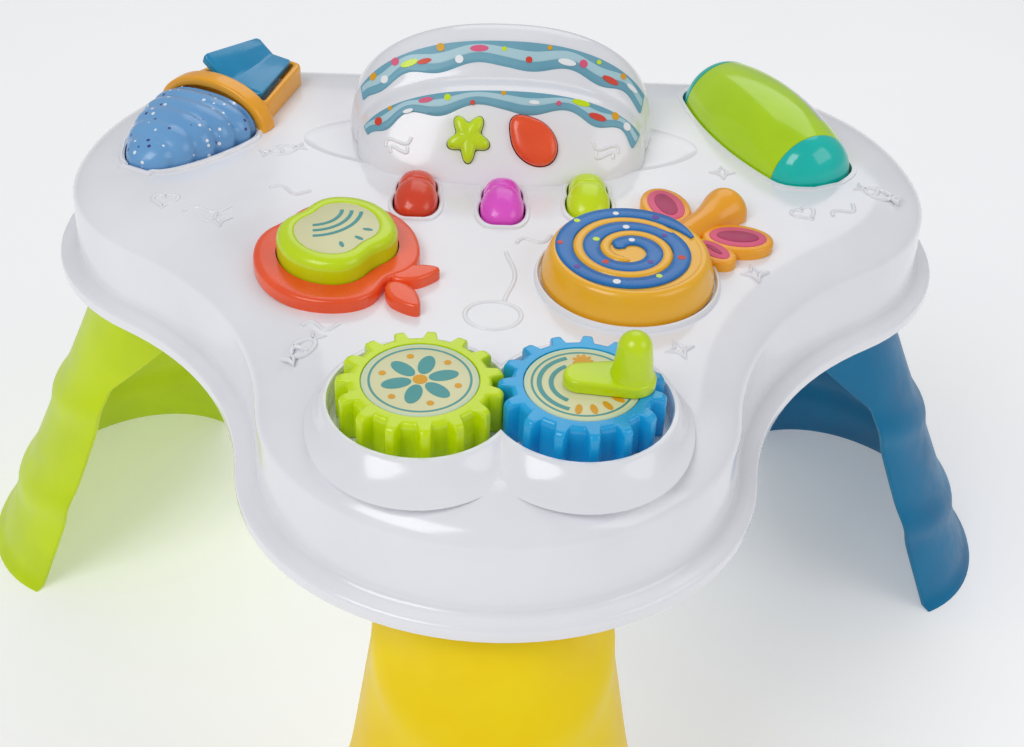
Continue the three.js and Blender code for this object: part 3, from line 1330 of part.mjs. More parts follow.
const lollyGroup = group(top, lolly.x, lolly.y, deckHeight);
add(lollyGroup, "lollipop_disc", lollyDisc(), materials.orange);
add(lollyGroup, "lollipop_spiral", lollySpiral(), materials.blue);
add(lollyGroup, "lollipop_washer", washer(), materials.white, [0, 0, lollyHubEnd]);
add(lollyGroup, "lollipop_screw", retainerScrew(), materials.steel, [0, 0, lollyHubEnd]);
add(lollyGroup, "lollipop_stick", lollyStick(), materials.orange, [0, 0, 0], lolly.angle);

add(top, "apple_base", appleBase(), materials.red, [apple.x, apple.y, deckHeight]);
const appleGroup = group(top, appleButton.x, appleButton.y, deckHeight);
add(appleGroup, "apple_button", appleButtonSolid(), materials.lime);
add(appleGroup, "apple_label", appleLabel(), materials.label);

const drumGroup = group(top, drum.x, drum.y, drumAxisHeight, drum.angle);
const roller = new THREE.Group();
roller.rotation.y = Math.PI / 2;
drumGroup.add(roller);
const tube = drumTube(0, drum.jointAt);
add(roller, "drum_shell", cut(tube, drumWedge(0)), materials.lime);
add(roller, "drum_window", tube.intersect(drumWedge(gap)), materials.clear);
add(roller, "drum_cap_near", drumCap(), materials.teal);
const farCap = add(roller, "drum_cap_far", drumCap(), materials.teal);
farCap.rotation.x = Math.PI;

const coneGroup = group(top, cone.x, cone.y, deckHeight, cone.angle);
add(coneGroup, "cone_frame", coneFrame(), materials.orange);
add(coneGroup, "scoop_button", scoopButton(), materials.skyBlue);
const rockerMesh = add(coneGroup, "rocker", rockerSolid(), materials.blue, [0, 0, rocker.pivotHeight]);
rockerMesh.rotation.set(0, radians(rocker.restTilt), 0);

for (const [name, plan, data, material] of [
  ["star_button", starPlan, star, materials.lime],
  ["balloon_button", balloonPlan, balloon, materials.red],
]) {
  const mesh = add(top, name, panelButton(plan, data), material, panelSpot(data));
  mesh.rotation.x = radians(hood.slope);
}

const buttonRoom = Math.max(star.stem + star.travel, balloon.stem + balloon.travel);
const hoodBoardTop = -(hood.wall + buttonRoom + panelFlange.thickness + 2 * gap);
const hoodBoardMesh = add(
  top,
  "hood_board",
  block(hoodBoard.width, hoodBoard.high - hoodBoard.low, hoodBoardTop - hoodBoard.thickness, hoodBoardTop,
    place(0, (hoodBoard.high + hoodBoard.low) / 2, 0)),
  materials.board,
  [0, hood.panelY, deckHeight + hood.panelZ],
);
hoodBoardMesh.rotation.x = radians(hood.slope);

const keyMaterials = [materials.darkRed, materials.pink, materials.lime];
keyPlaces.forEach(({ name, x, rear }, i) => {
  add(top, name, keySolid(), keyMaterials[i], [x, rear - key.pivotBack, deckHeight - key.pivotDrop]);
});
add(top, "key_bracket", keyBracketSolid(), materials.white);
add(top, "key_pad", keyPadSolid(), materials.rubber);

const mainBoard = block(board.width, board.depth, board.seat + gap, boardTop);
add(top, "main_board", mainBoard, materials.board, [board.x, board.y, 0]);
const padUnderApple = cylinder(applePad.radius, boardTop + gap, boardTop + gap + applePad.height);
add(top, "apple_pad", padUnderApple, materials.rubber, [appleButton.x, appleButton.y, 0]);

add(
  coneGroup,
  "scoop_pad",
  cylinder(scoopPad.radius, 0, scoopPad.height),
  materials.rubber,
  [0, -scoop.start - scoop.length / 2, scoopPadSeat + gap - deckHeight],
);

const speakerGroup = group(top, speaker.x, speaker.y, coverThickness + gap);
add(speakerGroup, "speaker_basket", speakerBasket(), materials.black);
add(speakerGroup, "speaker_cone", speakerCone(), materials.rubber);

const trayGroup = group(top, batteryBox.x, batteryBox.y, batteryDoor.thickness);
[1, 2, 3].forEach((number, i) => {
  const flip = i % 2 ? 180 : 0;
  const start = -(battery.length + battery.tipLength) / 2 * (flip ? -1 : 1);
  const at = [start, (i - 1) * battery.pitch, batteryInside.height / 2];
  add(trayGroup, `battery_${number}`, batteryCell(), materials.cell, at, flip);
});
const contactX = batteryInside.width / 2 - gap - contact.thickness / 2;
add(trayGroup, "battery_contact_left", batteryContact(-1), materials.steel, [-contactX, 0, 0]);
add(trayGroup, "battery_contact_right", batteryContact(1), materials.steel, [contactX, 0, 0]);
add(top, "battery_door", batteryDoorSolid(), materials.white);
const doorScrew = new THREE.Vector3().setFromMatrixPosition(doorScrewAt);
const doorScrewSpot = [doorScrew.x, doorScrew.y, gap / 2];
add(top, "battery_door_screw", coverScrew(doorScrewLength), materials.steel, doorScrewSpot);

const switchGroup = group(top, powerSwitch.x, powerSwitch.y, 0);
const switchSeat = coverThickness + gap;
const switchBody = block(powerSwitch.width, powerSwitch.depth, switchSeat, switchSeat + powerSwitch.height);
add(switchGroup, "switch_body", switchBody, materials.black);
add(
  switchGroup,
  "switch_knob",
  block(powerSwitch.knobWidth, powerSwitch.knobDepth, -coverThickness / 2, coverThickness),
  materials.black,
  [-powerSwitch.travel / 2, 0, 0],
);

coverScrewPlaces.forEach(([x, y], i) => {
  add(top, `cover_screw_${i + 1}`, coverScrew(screw.length), materials.steel, [x, y, gap / 2]);
});

const legMaterials = [materials.legYellow, materials.legBlue, materials.legGreen];
legPlaces.forEach((spot, i) => {
  const { distance, azimuth, name } = spot;
  const at = [distance * Math.cos(radians(azimuth)), distance * Math.sin(radians(azimuth)), 0];
  add(top, name, legSolid(), legMaterials[i], at, azimuth);
});

// The origin is the centre of the footprint on the floor.
const bounds = new THREE.Box3().setFromObject(table, true);
const middle = bounds.getCenter(new THREE.Vector3());
table.position.set(-middle.x, -middle.y, -bounds.min.z);

export default table;
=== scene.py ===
"""A child's musical activity table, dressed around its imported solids.

Lengths in this script are millimetres from the table's centre, counted up from the rim's lower edge,
until one function turns them into the frame's metres.
"""

import json
import logging
import math
import random
from dataclasses import dataclass
from enum import Enum
from typing import Callable, Optional, Sequence

import bmesh
import bpy
from mathutils import Matrix, Vector


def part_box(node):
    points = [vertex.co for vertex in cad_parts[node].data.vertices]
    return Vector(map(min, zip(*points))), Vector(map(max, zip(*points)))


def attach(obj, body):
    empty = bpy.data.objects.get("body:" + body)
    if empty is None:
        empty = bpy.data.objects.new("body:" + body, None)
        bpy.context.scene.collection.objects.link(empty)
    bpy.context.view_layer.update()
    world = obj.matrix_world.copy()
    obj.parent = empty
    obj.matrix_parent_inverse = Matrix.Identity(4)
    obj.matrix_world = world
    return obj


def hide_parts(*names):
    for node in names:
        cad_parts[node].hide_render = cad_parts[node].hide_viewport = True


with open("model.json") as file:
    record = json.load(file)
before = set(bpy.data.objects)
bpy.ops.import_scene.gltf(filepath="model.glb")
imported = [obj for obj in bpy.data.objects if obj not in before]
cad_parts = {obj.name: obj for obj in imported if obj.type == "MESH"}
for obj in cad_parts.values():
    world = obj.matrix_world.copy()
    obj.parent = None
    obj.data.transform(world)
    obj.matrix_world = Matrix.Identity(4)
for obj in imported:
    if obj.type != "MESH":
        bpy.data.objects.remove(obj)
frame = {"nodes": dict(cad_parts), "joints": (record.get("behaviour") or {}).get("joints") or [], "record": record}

logging.basicConfig(level=logging.INFO, format="%(message)s")
LOG = logging.getLogger("activity_table")

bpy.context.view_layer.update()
MM = 0.001
Point = tuple[float, float]
Ring = list[Vector]
Profile = tuple[Point, ...]
Spot = tuple[float, ...]
Line = tuple[list[Point], bool]
Piece = bpy.types.Object


# Places taken from the frame


def joint_place(name: str) -> Vector:
    """Finds where a joint of the frame sits."""
    return Vector(next(j["pos_m"] for j in frame["joints"] if j["name"] == name))


@dataclass(frozen=True)
class Plan:
    """The table's driving sizes, shared by every sub-assembly."""

    lobe_radius: float = 100.0
    lobe_spread: float = 117.3
    waist_radius: float = 150.0
    front_share: float = 0.893
    rear_share: float = 1.13
    deck: float = 46.0
    wall: float = 3.0
    gear_y: float = -126.7
    slope: float = 51.8
    panel_y: float = 44.0
    panel_z: float = 14.9

    def origin(self) -> Vector:
        """Returns the table's centre at the rim's lower edge, in metres."""
        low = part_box("top_shell")[0]
        return Vector((0.0, joint_place("right_gear_spin").y - self.gear_y * MM, low.z))

    def outline(self, inset: float, detail: int = 4) -> list[Point]:
        """Draws the three-lobed plan.

        Args:
            inset: how far the plan is drawn in from the rim.
            detail: points on each curve, as a multiple of the coarsest useful count.

        Returns:
            The outline's points, counterclockwise from the front.
        """
        half_span = self.lobe_spread * math.sin(math.pi / 3)
        side_y = self.lobe_spread / 2
        reach = side_y + math.sqrt((self.lobe_radius + self.waist_radius) ** 2 - half_span**2)
        waist_x = reach * math.cos(math.pi / 6)
        waist_y = -reach / 2
        meet = math.atan2(waist_y + self.lobe_spread, waist_x)
        lobe = self.lobe_radius - inset
        waist = self.waist_radius + inset
        right = arc(0, -self.lobe_spread, lobe, -math.pi / 2, meet, 5 * detail)
        right += arc(waist_x, waist_y, waist, math.pi + meet, 2 * math.pi / 3 - meet, 4 * detail)
        right += arc(half_span, side_y, lobe, -math.pi / 3 - meet, math.pi / 2, 8 * detail)
        right += [(half_span * (1 - i / detail), side_y + lobe) for i in range(detail)]
        left = [(-x, y) for x, y in reversed(right[1:])]
        shaped = []
        for x, y in right + [(0.0, side_y + lobe)] + left:
            behind = max(y - side_y, 0.0)
            shaped.append((x, min(y, side_y) * self.front_share + behind * self.rear_share))
        return shaped


def arc(cx: float, cy: float, radius: float, start: float, end: float, steps: int) -> list[Point]:
    """Draws an arc without its last point."""
    angles = [start + (end - start) * i / steps for i in range(steps)]
    return [(cx + radius * math.cos(a), cy + radius * math.sin(a)) for a in angles]


def polar(
    radius_at: Callable[[float], float], steps: int, share_x: float = 1, share_y: float = 1
) -> list[Point]:
    """Draws a closed outline whose radius follows the angle.

    Args:
        radius_at: gives the radius for an angle in radians.
        steps: how many points.
        share_x: stretch along X.
        share_y: stretch along Y.

    Returns:
        The points, counterclockwise.
    """
    points = []
    for x, y in arc(0, 0, 1, 0, 2 * math.pi, steps):
        radius = radius_at(math.atan2(y, x))
        points.append((radius * x * share_x, radius * y * share_y))
    return points


def oval(steps: int, half_long: float, half_wide: float) -> list[Point]:
    """Draws an oval about its own middle."""
    return polar(lambda a: 1.0, steps, half_long, half_wide)


PLAN = Plan()
BASE = Matrix.Translation(PLAN.origin()) @ Matrix.Scale(MM, 4)


def place(x: float, y: float, z: float, angle: float = 0.0) -> Matrix:
    """Makes a local frame on the table."""
    return BASE @ Matrix.Translation((x, y, z)) @ Matrix.Rotation(math.radians(angle), 4, "Z")


def around(angle: float, reach: float) -> Matrix:
    """Makes a place at an angle in radians and a distance from an axis."""
    return Matrix.Rotation(angle, 4, "Z") @ Matrix.Translation((reach, 0, 0))


ALONG_X = Matrix.Rotation(math.pi / 2, 4, "Y")
ALONG_Y = Matrix.Rotation(math.pi / 2, 4, "X")


def level(points: Sequence[Point], z: float, matrix: Matrix) -> Ring:
    """Lays an outline at a height of a local frame."""
    return [matrix @ Vector((x, y, z)) for x, y in points]


# Modelling tools


def deselect() -> None:
    """Leaves edit mode and selects nothing."""
    if bpy.context.object and bpy.context.object.mode != "OBJECT":
        bpy.ops.object.mode_set(mode="OBJECT")
    bpy.ops.object.select_all(action="DESELECT")


def activate(piece: Piece) -> None:
    """Makes one piece the only selected and active one.

    Args:
        piece: the piece.
    """
    deselect()
    piece.select_set(True)
    bpy.context.view_layer.objects.active = piece


def loft(name: str, rings: Sequence[Ring], loop: bool = False) -> Piece:
    """Extrudes a circle from ring to ring and closes the ends.

    Args:
        name: the piece's name.
        rings: rings of equal count, in metres.
        loop: whether the last ring joins the first.

    Returns:
        The new piece.
    """
    deselect()
    bpy.ops.mesh.primitive_circle_add(vertices=len(rings[0]), radius=1.0, fill_type="NOTHING")
    piece = bpy.context.object
    piece.name = name
    piece.location = (0.0, 0.0, 0.0)
    bpy.ops.object.mode_set(mode="EDIT")
    mesh = bmesh.from_edit_mesh(piece.data)
    mesh.verts.ensure_lookup_table()
    order = {vertex.index: i for i, vertex in enumerate(mesh.verts)}
    for vertex, spot in zip(mesh.verts, rings[0]):
        vertex.co = spot
    for ring in rings[1:]:
        bpy.ops.mesh.extrude_edges_move()
        mesh = bmesh.from_edit_mesh(piece.data)
        mesh.verts.index_update()
        fresh = [vertex for vertex in mesh.verts if vertex.select]
        for vertex in fresh:
            before = next(e.other_vert(vertex) for e in vertex.link_edges if not e.other_vert(vertex).select)
            order[vertex.index] = order[before.index]
        for vertex in fresh:
            vertex.co = ring[order[vertex.index]]
    bmesh.update_edit_mesh(piece.data)
    if loop:
        bpy.ops.mesh.select_all(action="DESELECT")
        bpy.ops.mesh.select_non_manifold()
        bpy.ops.mesh.bridge_edge_loops()
    else:
        bpy.ops.mesh.edge_face_add()
        cap_first_ring(piece, len(rings[0]))
    bpy.ops.mesh.select_all(action="SELECT")
    bpy.ops.mesh.normals_make_consistent(inside=False)
    bpy.ops.object.mode_set(mode="OBJECT")
    return piece


def cap_first_ring(piece: Piece, count: int) -> None:
    """Fills the ring that a loft started from.

    Args:
        piece: the loft, in edit mode.
        count: how many vertices a ring has.
    """
    bpy.ops.mesh.select_all(action="DESELECT")
    mesh = bmesh.from_edit_mesh(piece.data)
    mesh.verts.ensure_lookup_table()
    for vertex in mesh.verts[:count]:
        vertex.select = True
    mesh.select_flush(True)
    bmesh.update_edit_mesh(piece.data)
    bpy.ops.mesh.edge_face_add()


def turned(
    name: str, profile: Sequence[Point], matrix: Matrix, steps: int = 64, loop: bool = False
) -> Piece:
    """Lofts a round piece from its profile.

    Args:
        name: the piece's name.
        profile: pairs of radius and height, none on the axis.
        matrix: the local frame, whose Z is the axis.
        steps: vertices on each ring.
        loop: whether the profile closes on itself.

    Returns:
        The new piece.
    """
    circle = arc(0, 0, 1, 0, 2 * math.pi, steps)
    rings = [level([(r * x, r * y) for x, y in circle], z, matrix) for r, z in profile]
    return loft(name, rings, loop)


def use_modifier(piece: Piece, kind: str, **settings: object) -> None:
    """Adds a modifier, sets it and applies it.

    Args:
        piece: the piece that gets it.
        kind: the modifier's type.
        settings: its values by name.
    """
    activate(piece)
    modifier = piece.modifiers.new(kind.title(), kind)
    for key, value in settings.items():
        setattr(modifier, key, value)
    bpy.ops.object.modifier_apply(modifier=modifier.name)


def combine(piece: Piece, tool: Piece, operation: str = "DIFFERENCE") -> None:
    """Cuts a piece with a tool, or joins the tool to it, and removes the tool."""
    use_modifier(piece, "BOOLEAN", operation=operation, object=tool, solver="EXACT")
    bpy.data.objects.remove(tool)


def round_edges(piece: Piece, width: float, segments: int = 3, angle: float = 35.0) -> None:
    """Rounds the sharp edges of a piece.

    Args:
        piece: the piece.
        width: how wide each rounding is.
        segments: faces across it.
        angle: the least angle between faces that counts as sharp, in degrees.
    """
    use_modifier(
        piece,
        "BEVEL",
        width=width * MM,
        segments=segments,
        limit_method="ANGLE",
        angle_limit=math.radians(angle),
        harden_normals=False,
    )


def smooth(piece: Piece, angle: float = 38.0, weighted: bool = False) -> None:
    """Shades a piece smoothly up to an angle.

    Args:
        piece: the piece.
        angle: edges sharper than this, in degrees, stay crisp.
        weighted: whether large faces pull the shading flat.
    """
    activate(piece)
    bpy.ops.object.shade_smooth_by_angle(angle=math.radians(angle))
    if weighted:
        use_modifier(piece, "WEIGHTED_NORMAL", keep_sharp=True, weight=80)


def join_pieces(pieces: Sequence[Piece], name: str) -> Piece:
    """Joins pieces into one object.

    Args:
        pieces: the pieces, of which the first is kept.
        name: the joined piece's name.

    Returns:
        The joined piece.
    """
    deselect()
    for piece in pieces:
        piece.select_set(True)
    bpy.context.view_layer.objects.active = pieces[0]
    bpy.ops.object.join()
    pieces[0].name = name
    return pieces[0]


def slab(name: str, outline: Sequence[Point], low: float, high: float, matrix: Matrix) -> Piece:
    """Extrudes an outline between two heights."""
    return loft(name, [level(outline, low, matrix), level(outline, high, matrix)])


def stack(
    name: str,
    outline: Callable[[float], list[Point]],
    profile: Sequence[Point],
    matrix: Matrix,
    loop: bool = False,
) -> Piece:
    """Lofts one outline drawn at a row of growths and heights."""
    return loft(name, [level(outline(grow), z, matrix) for grow, z in profile], loop)


def box_outline(width: float, depth: float, cx: float = 0.0, cy: float = 0.0) -> list[Point]:
    """Draws a rectangle."""
    x, y = width / 2, depth / 2
    return [(cx - x, cy - y), (cx + x, cy - y), (cx + x, cy + y), (cx - x, cy + y)]


def wire(
    name: str, path: Sequence[Vector], radius: float, closed: bool = False, sides: int = 3
) -> Piece:
    """Sweeps a round bead along a path.

    Args:
        name: the piece's name.
        path: points in metres.
        radius: the bead's radius.
        closed: whether the path is a loop.
        sides: detail of the bead's section.

    Returns:
        The bead as a mesh.
    """
    deselect()
    curve = bpy.data.curves.new(name, "CURVE")
    curve.dimensions = "3D"
    curve.bevel_depth = radius * MM
    curve.bevel_resolution = sides
    curve.use_fill_caps = True
    spline = curve.splines.new("POLY")
    spline.points.add(len(path) - 1)
    spline.use_cyclic_u = closed
    for point, spot in zip(spline.points, path):
        point.co = (*spot, 1.0)
    piece = bpy.data.objects.new(name, curve)
    bpy.context.scene.collection.objects.link(piece)
    activate(piece)
    bpy.ops.object.convert(target="MESH")
    return bpy.context.object


def blend_table(rows: Sequence[Sequence[float]], steps: int) -> list[list[float]]:
    """Fills a coarse table of stations in with smooth rows between them.

    Args:
        rows: stations whose first value grows.
        steps: rows per gap.

    Returns:
        The dense table, along Catmull-Rom curves.
    """
    dense = []
    for i in range(len(rows) - 1):
        a, b = rows[max(i - 1, 0)], rows[i]
        c, d = rows[i + 1], rows[min(i + 2, len(rows) - 1)]
        for k in range(steps):
            t = k / steps
            row = []
            for p, q, r, s in zip(a, b, c, d):
                square, cube = 2 * p - 5 * q + 4 * r - s, 3 * q - p - 3 * r + s
                row.append(0.5 * (2 * q + (r - p) * t + square * t * t + cube * t**3))
            dense.append(row)
    return dense + [list(rows[-1])]


# Finishes


def linear(colour: str) -> tuple[float, float, float, float]:
    """Turns an sRGB hex colour into linear light."""
    parts = [int(colour[i:i + 2], 16) / 255 for i in (0, 2, 4)]
    return tuple(p / 12.92 if p <= 0.04045 else ((p + 0.055) / 1.055) ** 2.4 for p in parts) + (1.0,)


def add_node(tree: bpy.types.NodeTree, kind: str, settings: dict, links: dict) -> bpy.types.Node:
    """Adds a node with its settings and links.

    Args:
        tree: the tree that gets it.
        kind: the node's type name.
        settings: properties, or input sockets by name, and their values.
        links: input sockets by name, and the output socket that feeds each.

    Returns:
        The new node.
    """
    node = tree.nodes.new(kind)
    for key, value in settings.items():
        if isinstance(key, int) or key in node.inputs:
            node.inputs[key].default_value = value
        else:
            setattr(node, key, value)
    for key, source in links.items():
        tree.links.new(source, node.inputs[key])
    return node


def ramp(node: bpy.types.Node, stops: Sequence[tuple[float, str]], sharp: bool = False) -> bpy.types.Node:
    """Sets a colour ramp's stops.

    Args:
        node: a ColorRamp node.
        stops: place and hex colour of each stop.
        sharp: whether colours change in steps.

    Returns:
        The same node.
    """
    band = node.color_ramp
    band.interpolation = "CONSTANT" if sharp else "LINEAR"
    while len(band.elements) < len(stops):
        band.elements.new(1.0)
    for element, (spot, colour) in zip(band.elements, stops):
        element.position = spot
        element.color = linear(colour)
    return node


def blank_material(name: str) -> tuple[bpy.types.Material, bpy.types.Node, bpy.types.NodeSocket]:
    """Makes a material that is ready for its nodes.

    Args:
        name: the material's name.

    Returns:
        The material, its shader and its object coordinates.
    """
    material = bpy.data.materials.new(name)
    material.use_nodes = True
    coordinates = add_node(material.node_tree, "ShaderNodeTexCoord", {}, {})
    return material, material.node_tree.nodes["Principled BSDF"], coordinates.outputs["Object"]


class Gloss(Enum):
    """How a moulded face left its tool: the spread of its roughness."""

    POLISHED = (0.12, 0.2)
    MOULDED = (0.2, 0.3)
    SATIN = (0.34, 0.46)
    MATTE = (0.6, 0.75)


@dataclass(frozen=True)
class Moulded:
    """Injection-moulded plastic: one deep colour, a faint cloudiness and a soft ripple in its gloss."""

    name: str
    colour: str
    shade: str
    gloss: Gloss = Gloss.MOULDED
    coat: float = 0.25
    ripple_mm: float = 9.0
    grain_mm: float = 0.6
    ior: float = 1.53
    sheen: float = 0.45

    def build(self) -> bpy.types.Material:
        """Builds the finish.

        Returns:
            The material.
        """
        material, shader, spot = blank_material(self.name)
        tree = material.node_tree
        ripple_m, grain_m = self.ripple_mm * MM, self.grain_mm * MM
        clouds, scuffs, grains = [
            add_node(tree, "ShaderNodeTexNoise", {"Scale": 1 / size, "Detail": detail}, {"Vector": spot})
            for size, detail in ((4 * ripple_m, 3.0), (ripple_m, 6.0), (grain_m, 2.0))
        ]
        tint = ramp(
            add_node(tree, "ShaderNodeValToRGB", {}, {"Fac": clouds.outputs["Fac"]}),
            [(0.35, self.shade), (0.65, self.colour)],
        )
        low, high = self.gloss.value
        rough = add_node(
            tree,
            "ShaderNodeMapRange",
            {"From Min": 0.35, "From Max": 0.7, "To Min": low, "To Max": high},
            {"Value": scuffs.outputs["Fac"]},
        )
        bump = add_node(
            tree,
            "ShaderNodeBump",
            {"Strength": 0.05, "Distance": 0.02 * MM},
            {"Height": grains.outputs["Fac"]},
        )
        shader.inputs["IOR"].default_value = self.ior
        shader.inputs["Coat Weight"].default_value = self.coat
        shader.inputs["Coat Roughness"].default_value = 0.08
        shader.inputs["Specular IOR Level"].default_value = self.sheen
        tree.links.new(tint.outputs["Color"], shader.inputs["Base Color"])
        tree.links.new(rough.outputs["Result"], shader.inputs["Roughness"])
        tree.links.new(bump.outputs["Normal"], shader.inputs["Normal"])
        return material


@dataclass(frozen=True)
class Sprinkled(Moulded):
    """Moulded plastic pad-printed with small round sprinkles in two colours."""

    dot: str = "F4F6F8"
    second_dot: str = "6A4AA0"
    dot_mm: float = 1.5
    spacing_mm: float = 6.5

    def build(self) -> bpy.types.Material:
        """Builds the finish with its sprinkles.

        Returns:
            The material.
        """
        material = super().build()
        tree = material.node_tree
        shader = tree.nodes["Principled BSDF"]
        plain = shader.inputs["Base Color"].links[0].from_socket
        spot = add_node(tree, "ShaderNodeTexCoord", {}, {}).outputs["Object"]
        cells = add_node(
            tree,
            "ShaderNodeTexVoronoi",
            {"Scale": 1 / (self.spacing_mm * MM), "Randomness": 0.75},
            {"Vector": spot},
        )
        inside = add_node(
            tree,
            "ShaderNodeMath",
            {"operation": "LESS_THAN", 1: self.dot_mm / self.spacing_mm},
            {0: cells.outputs["Distance"]},
        )
        pick = add_node(tree, "ShaderNodeSeparateColor", {}, {"Color": cells.outputs["Color"]})
        colours = ramp(
            add_node(tree, "ShaderNodeValToRGB", {}, {"Fac": pick.outputs["Red"]}),
            [(0.0, self.dot), (0.5, self.second_dot)],
            sharp=True,
        )
        mixed = add_node(
            tree,
            "ShaderNodeMix",
            {"data_type": "RGBA"},
            {"Factor": inside.outputs[0], 6: plain, 7: colours.outputs["Color"]},
        )
        tree.links.new(mixed.outputs[2], shader.inputs["Base Color"])
        return material


@dataclass(frozen=True)
class Metal:
    """Zinc-plated or nickel-plated steel: brushed, with a fine directional streak."""

    name: str
    colour: str
    roughness: float = 0.32
    streak_mm: float = 0.4

    def build(self) -> bpy.types.Material:
        """Builds the finish.

        Returns:
            The material.
        """
        material, shader, spot = blank_material(self.name)
        tree = material.node_tree
        scale = 1 / (self.streak_mm * MM)
        streak = add_node(tree, "ShaderNodeTexNoise", {"Scale": scale, "Detail": 4.0}, {"Vector": spot})
        rough = add_node(
            tree,
            "ShaderNodeMapRange",
            {"To Min": self.roughness - 0.08, "To Max": self.roughness + 0.1},
            {"Value": streak.outputs["Fac"]},
        )
        relief = {"Strength": 0.1, "Distance": 0.02 * MM}
        bump = add_node(tree, "ShaderNodeBump", relief, {"Height": streak.outputs["Fac"]})
        shader.inputs["Base Color"].default_value = linear(self.colour)
        shader.inputs["Metallic"].default_value = 1.0
        tree.links.new(rough.outputs["Result"], shader.inputs["Roughness"])
        tree.links.new(bump.outputs["Normal"], shader.inputs["Normal"])
        return material


FINISHES = {
    # White ABS from a polished tool: a clean cool shell with long soft highlights
    "white": Moulded("white_abs", "F6F6FA", "F0F0F5", Gloss.POLISHED, 0.3, ripple_mm=14.0),
    # Offset-printed film on the arches: flatter than the shell, in a pale blue; the paler blue wavy strip along
    # its upper part is a painted highlight
    "print": Moulded("printed_band", "76B0C4", "6AA4BA", Gloss.SATIN, 0.0),
    # Paler blue strip along the upper part of each band: a painted highlight where the band catches the light
    "painted_band_highlight": Moulded("painted_highlight_on_band", "B8DAE4", "ACD2DE", Gloss.SATIN, 0.0),
    # Coloured ABS: deep saturated colour under a plain moulded gloss
    "lime": Moulded("lime_abs", "D6F200", "CCE800"),
    "barrel": Moulded("barrel_lime_abs", "BEE800", "B4DE00", Gloss.POLISHED, 0.3),
    "blue": Moulded("gear_blue_abs", "18B2EE", "10A6E4"),
    "teal": Moulded("cap_teal_abs", "06CCBE", "04BEB2", Gloss.POLISHED, 0.3),
    "rocker": Moulded("rocker_blue_abs", "1896CA", "128CBE"),
    "orange": Moulded("orange_abs", "FFB224", "FAA818"),
    "amber": Moulded("amber_abs", "FFC02C", "FAB822"),
    "red": Moulded("apple_red_abs", "FF5C28", "F45220"),
    "key_red": Moulded("key_red_abs", "EE4E2A", "E24422"),
    "pink": Moulded("pink_abs", "F45CDC", "EA50D0"),
    # Blue ABS speckled like sugar: the colour broken by fine pale and dark dots
    "sky_blue": Sprinkled(
        "scoop_blue_abs", "72ACE0", "68A0D6", dot="F0F6FC", second_dot="3C3A86", dot_mm=0.85, spacing_mm=4.4
    ),
    # Polypropylene legs: waxy and satin, so the highlights spread wide
    "leg_green": Moulded("leg_green_pp", "D2EC00", "C8E200", Gloss.SATIN, 0.0, sheen=0.3),
    "leg_yellow": Moulded("leg_yellow_pp", "FFE000", "FCD600", Gloss.SATIN, 0.0, sheen=0.3),
    "leg_blue": Moulded("leg_blue_pp", "0078A8", "006C9C", Gloss.SATIN, 0.0, sheen=0.22),
    # Paper-backed vinyl: satin, with a faint tooth
    "label": Moulded("cream_label", "EAE8BA", "E4E2B2", Gloss.SATIN, 0.0, grain_mm=0.25),
    # Screen inks: thin flat colour that takes the light of the paper under it
    "ink_teal": Moulded("teal_ink", "4FA4A4", "4A9C9C", Gloss.SATIN, 0.0),
    "ink_ochre": Moulded("ochre_ink", "EBAC18", "E2A210", Gloss.SATIN, 0.0),
    "ink_pale": Moulded("pale_ink", "CFE4C6", "C8DEBE", Gloss.SATIN, 0.0),
    "ink_blue": Moulded("spiral_blue_ink", "0476C4", "026CB8", Gloss.MOULDED, 0.1),
    "ink_pink": Moulded("pink_ink", "EC6088", "E2567E", Gloss.SATIN, 0.0),
    "ink_rose": Moulded("rose_ink", "BC3468", "B22C60", Gloss.SATIN, 0.0),
    "ink_red": Moulded("red_ink", "E4452C", "DA3C24", Gloss.SATIN, 0.0),
    "ink_white": Moulded("white_ink", "FAFAFC", "F4F5F7", Gloss.SATIN, 0.0),
    "ink_purple": Moulded("purple_ink", "6C46AC", "643EA2", Gloss.SATIN, 0.0),
    # Smoky strip of the drum: the glossiest moulding, under a clear lacquer
    "clear": Moulded("smoke_strip", "C6CACB", "BBC0C2", Gloss.POLISHED, 0.5),
    # Inner parts: fibreglass board, grey rubber and black mouldings, all dull
    "board": Moulded("green_board", "1F6B3A", "1A6034", Gloss.SATIN, 0.1),
    "rubber": Moulded("grey_rubber", "4A4A4C", "434345", Gloss.MATTE, 0.0),
    "black": Moulded("black_abs", "262629", "202023", Gloss.SATIN, 0.05),
    # Plated steel: brushed, so its gleam breaks into fine streaks
    "cell": Metal("cell_can", "8D9096", 0.4),
    "steel": Metal("zinc_screw", "B9BCC0"),
}


class Paintbox:
    """Builds each finish once and hands it out by name."""

    def __init__(self) -> None:
        """Starts with no finish built."""
        self.built: dict[str, bpy.types.Material] = {}

    def get(self, name: str) -> bpy.types.Material:
        """Finds a finish, and builds it when it is first asked for.

        Args:
            name: the finish's name.

        Returns:
            The material.
        """
        if name not in self.built:
            self.built[name] = FINISHES[name].build()
        return self.built[name]


PAINT = Paintbox()


def dress(
    piece: Piece,
    finish: str,
    body: str,
    nodes: Sequence[str] = (),
    crease: Optional[float] = None,
    weighted: bool = False,
) -> None:
    """Shades a piece and gives it its finish and its place in the frame.

    Args:
        piece: the finished shape.
        finish: the finish's name.
        body: the frame body that it rides on.
        nodes: the frame nodes that it replaces.
        crease: edges sharper than this, in degrees, stay crisp; None leaves the shading as it is.
        weighted: whether large faces pull the shading flat.
    """
    if crease is not None:
        smooth(piece, crease, weighted)
    piece.data.materials.clear()
    piece.data.materials.append(PAINT.get(finish))
    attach(piece, body)
    if nodes:
        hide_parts(*nodes)
    LOG.info("%s: %d faces", piece.name, len(piece.data.polygons))


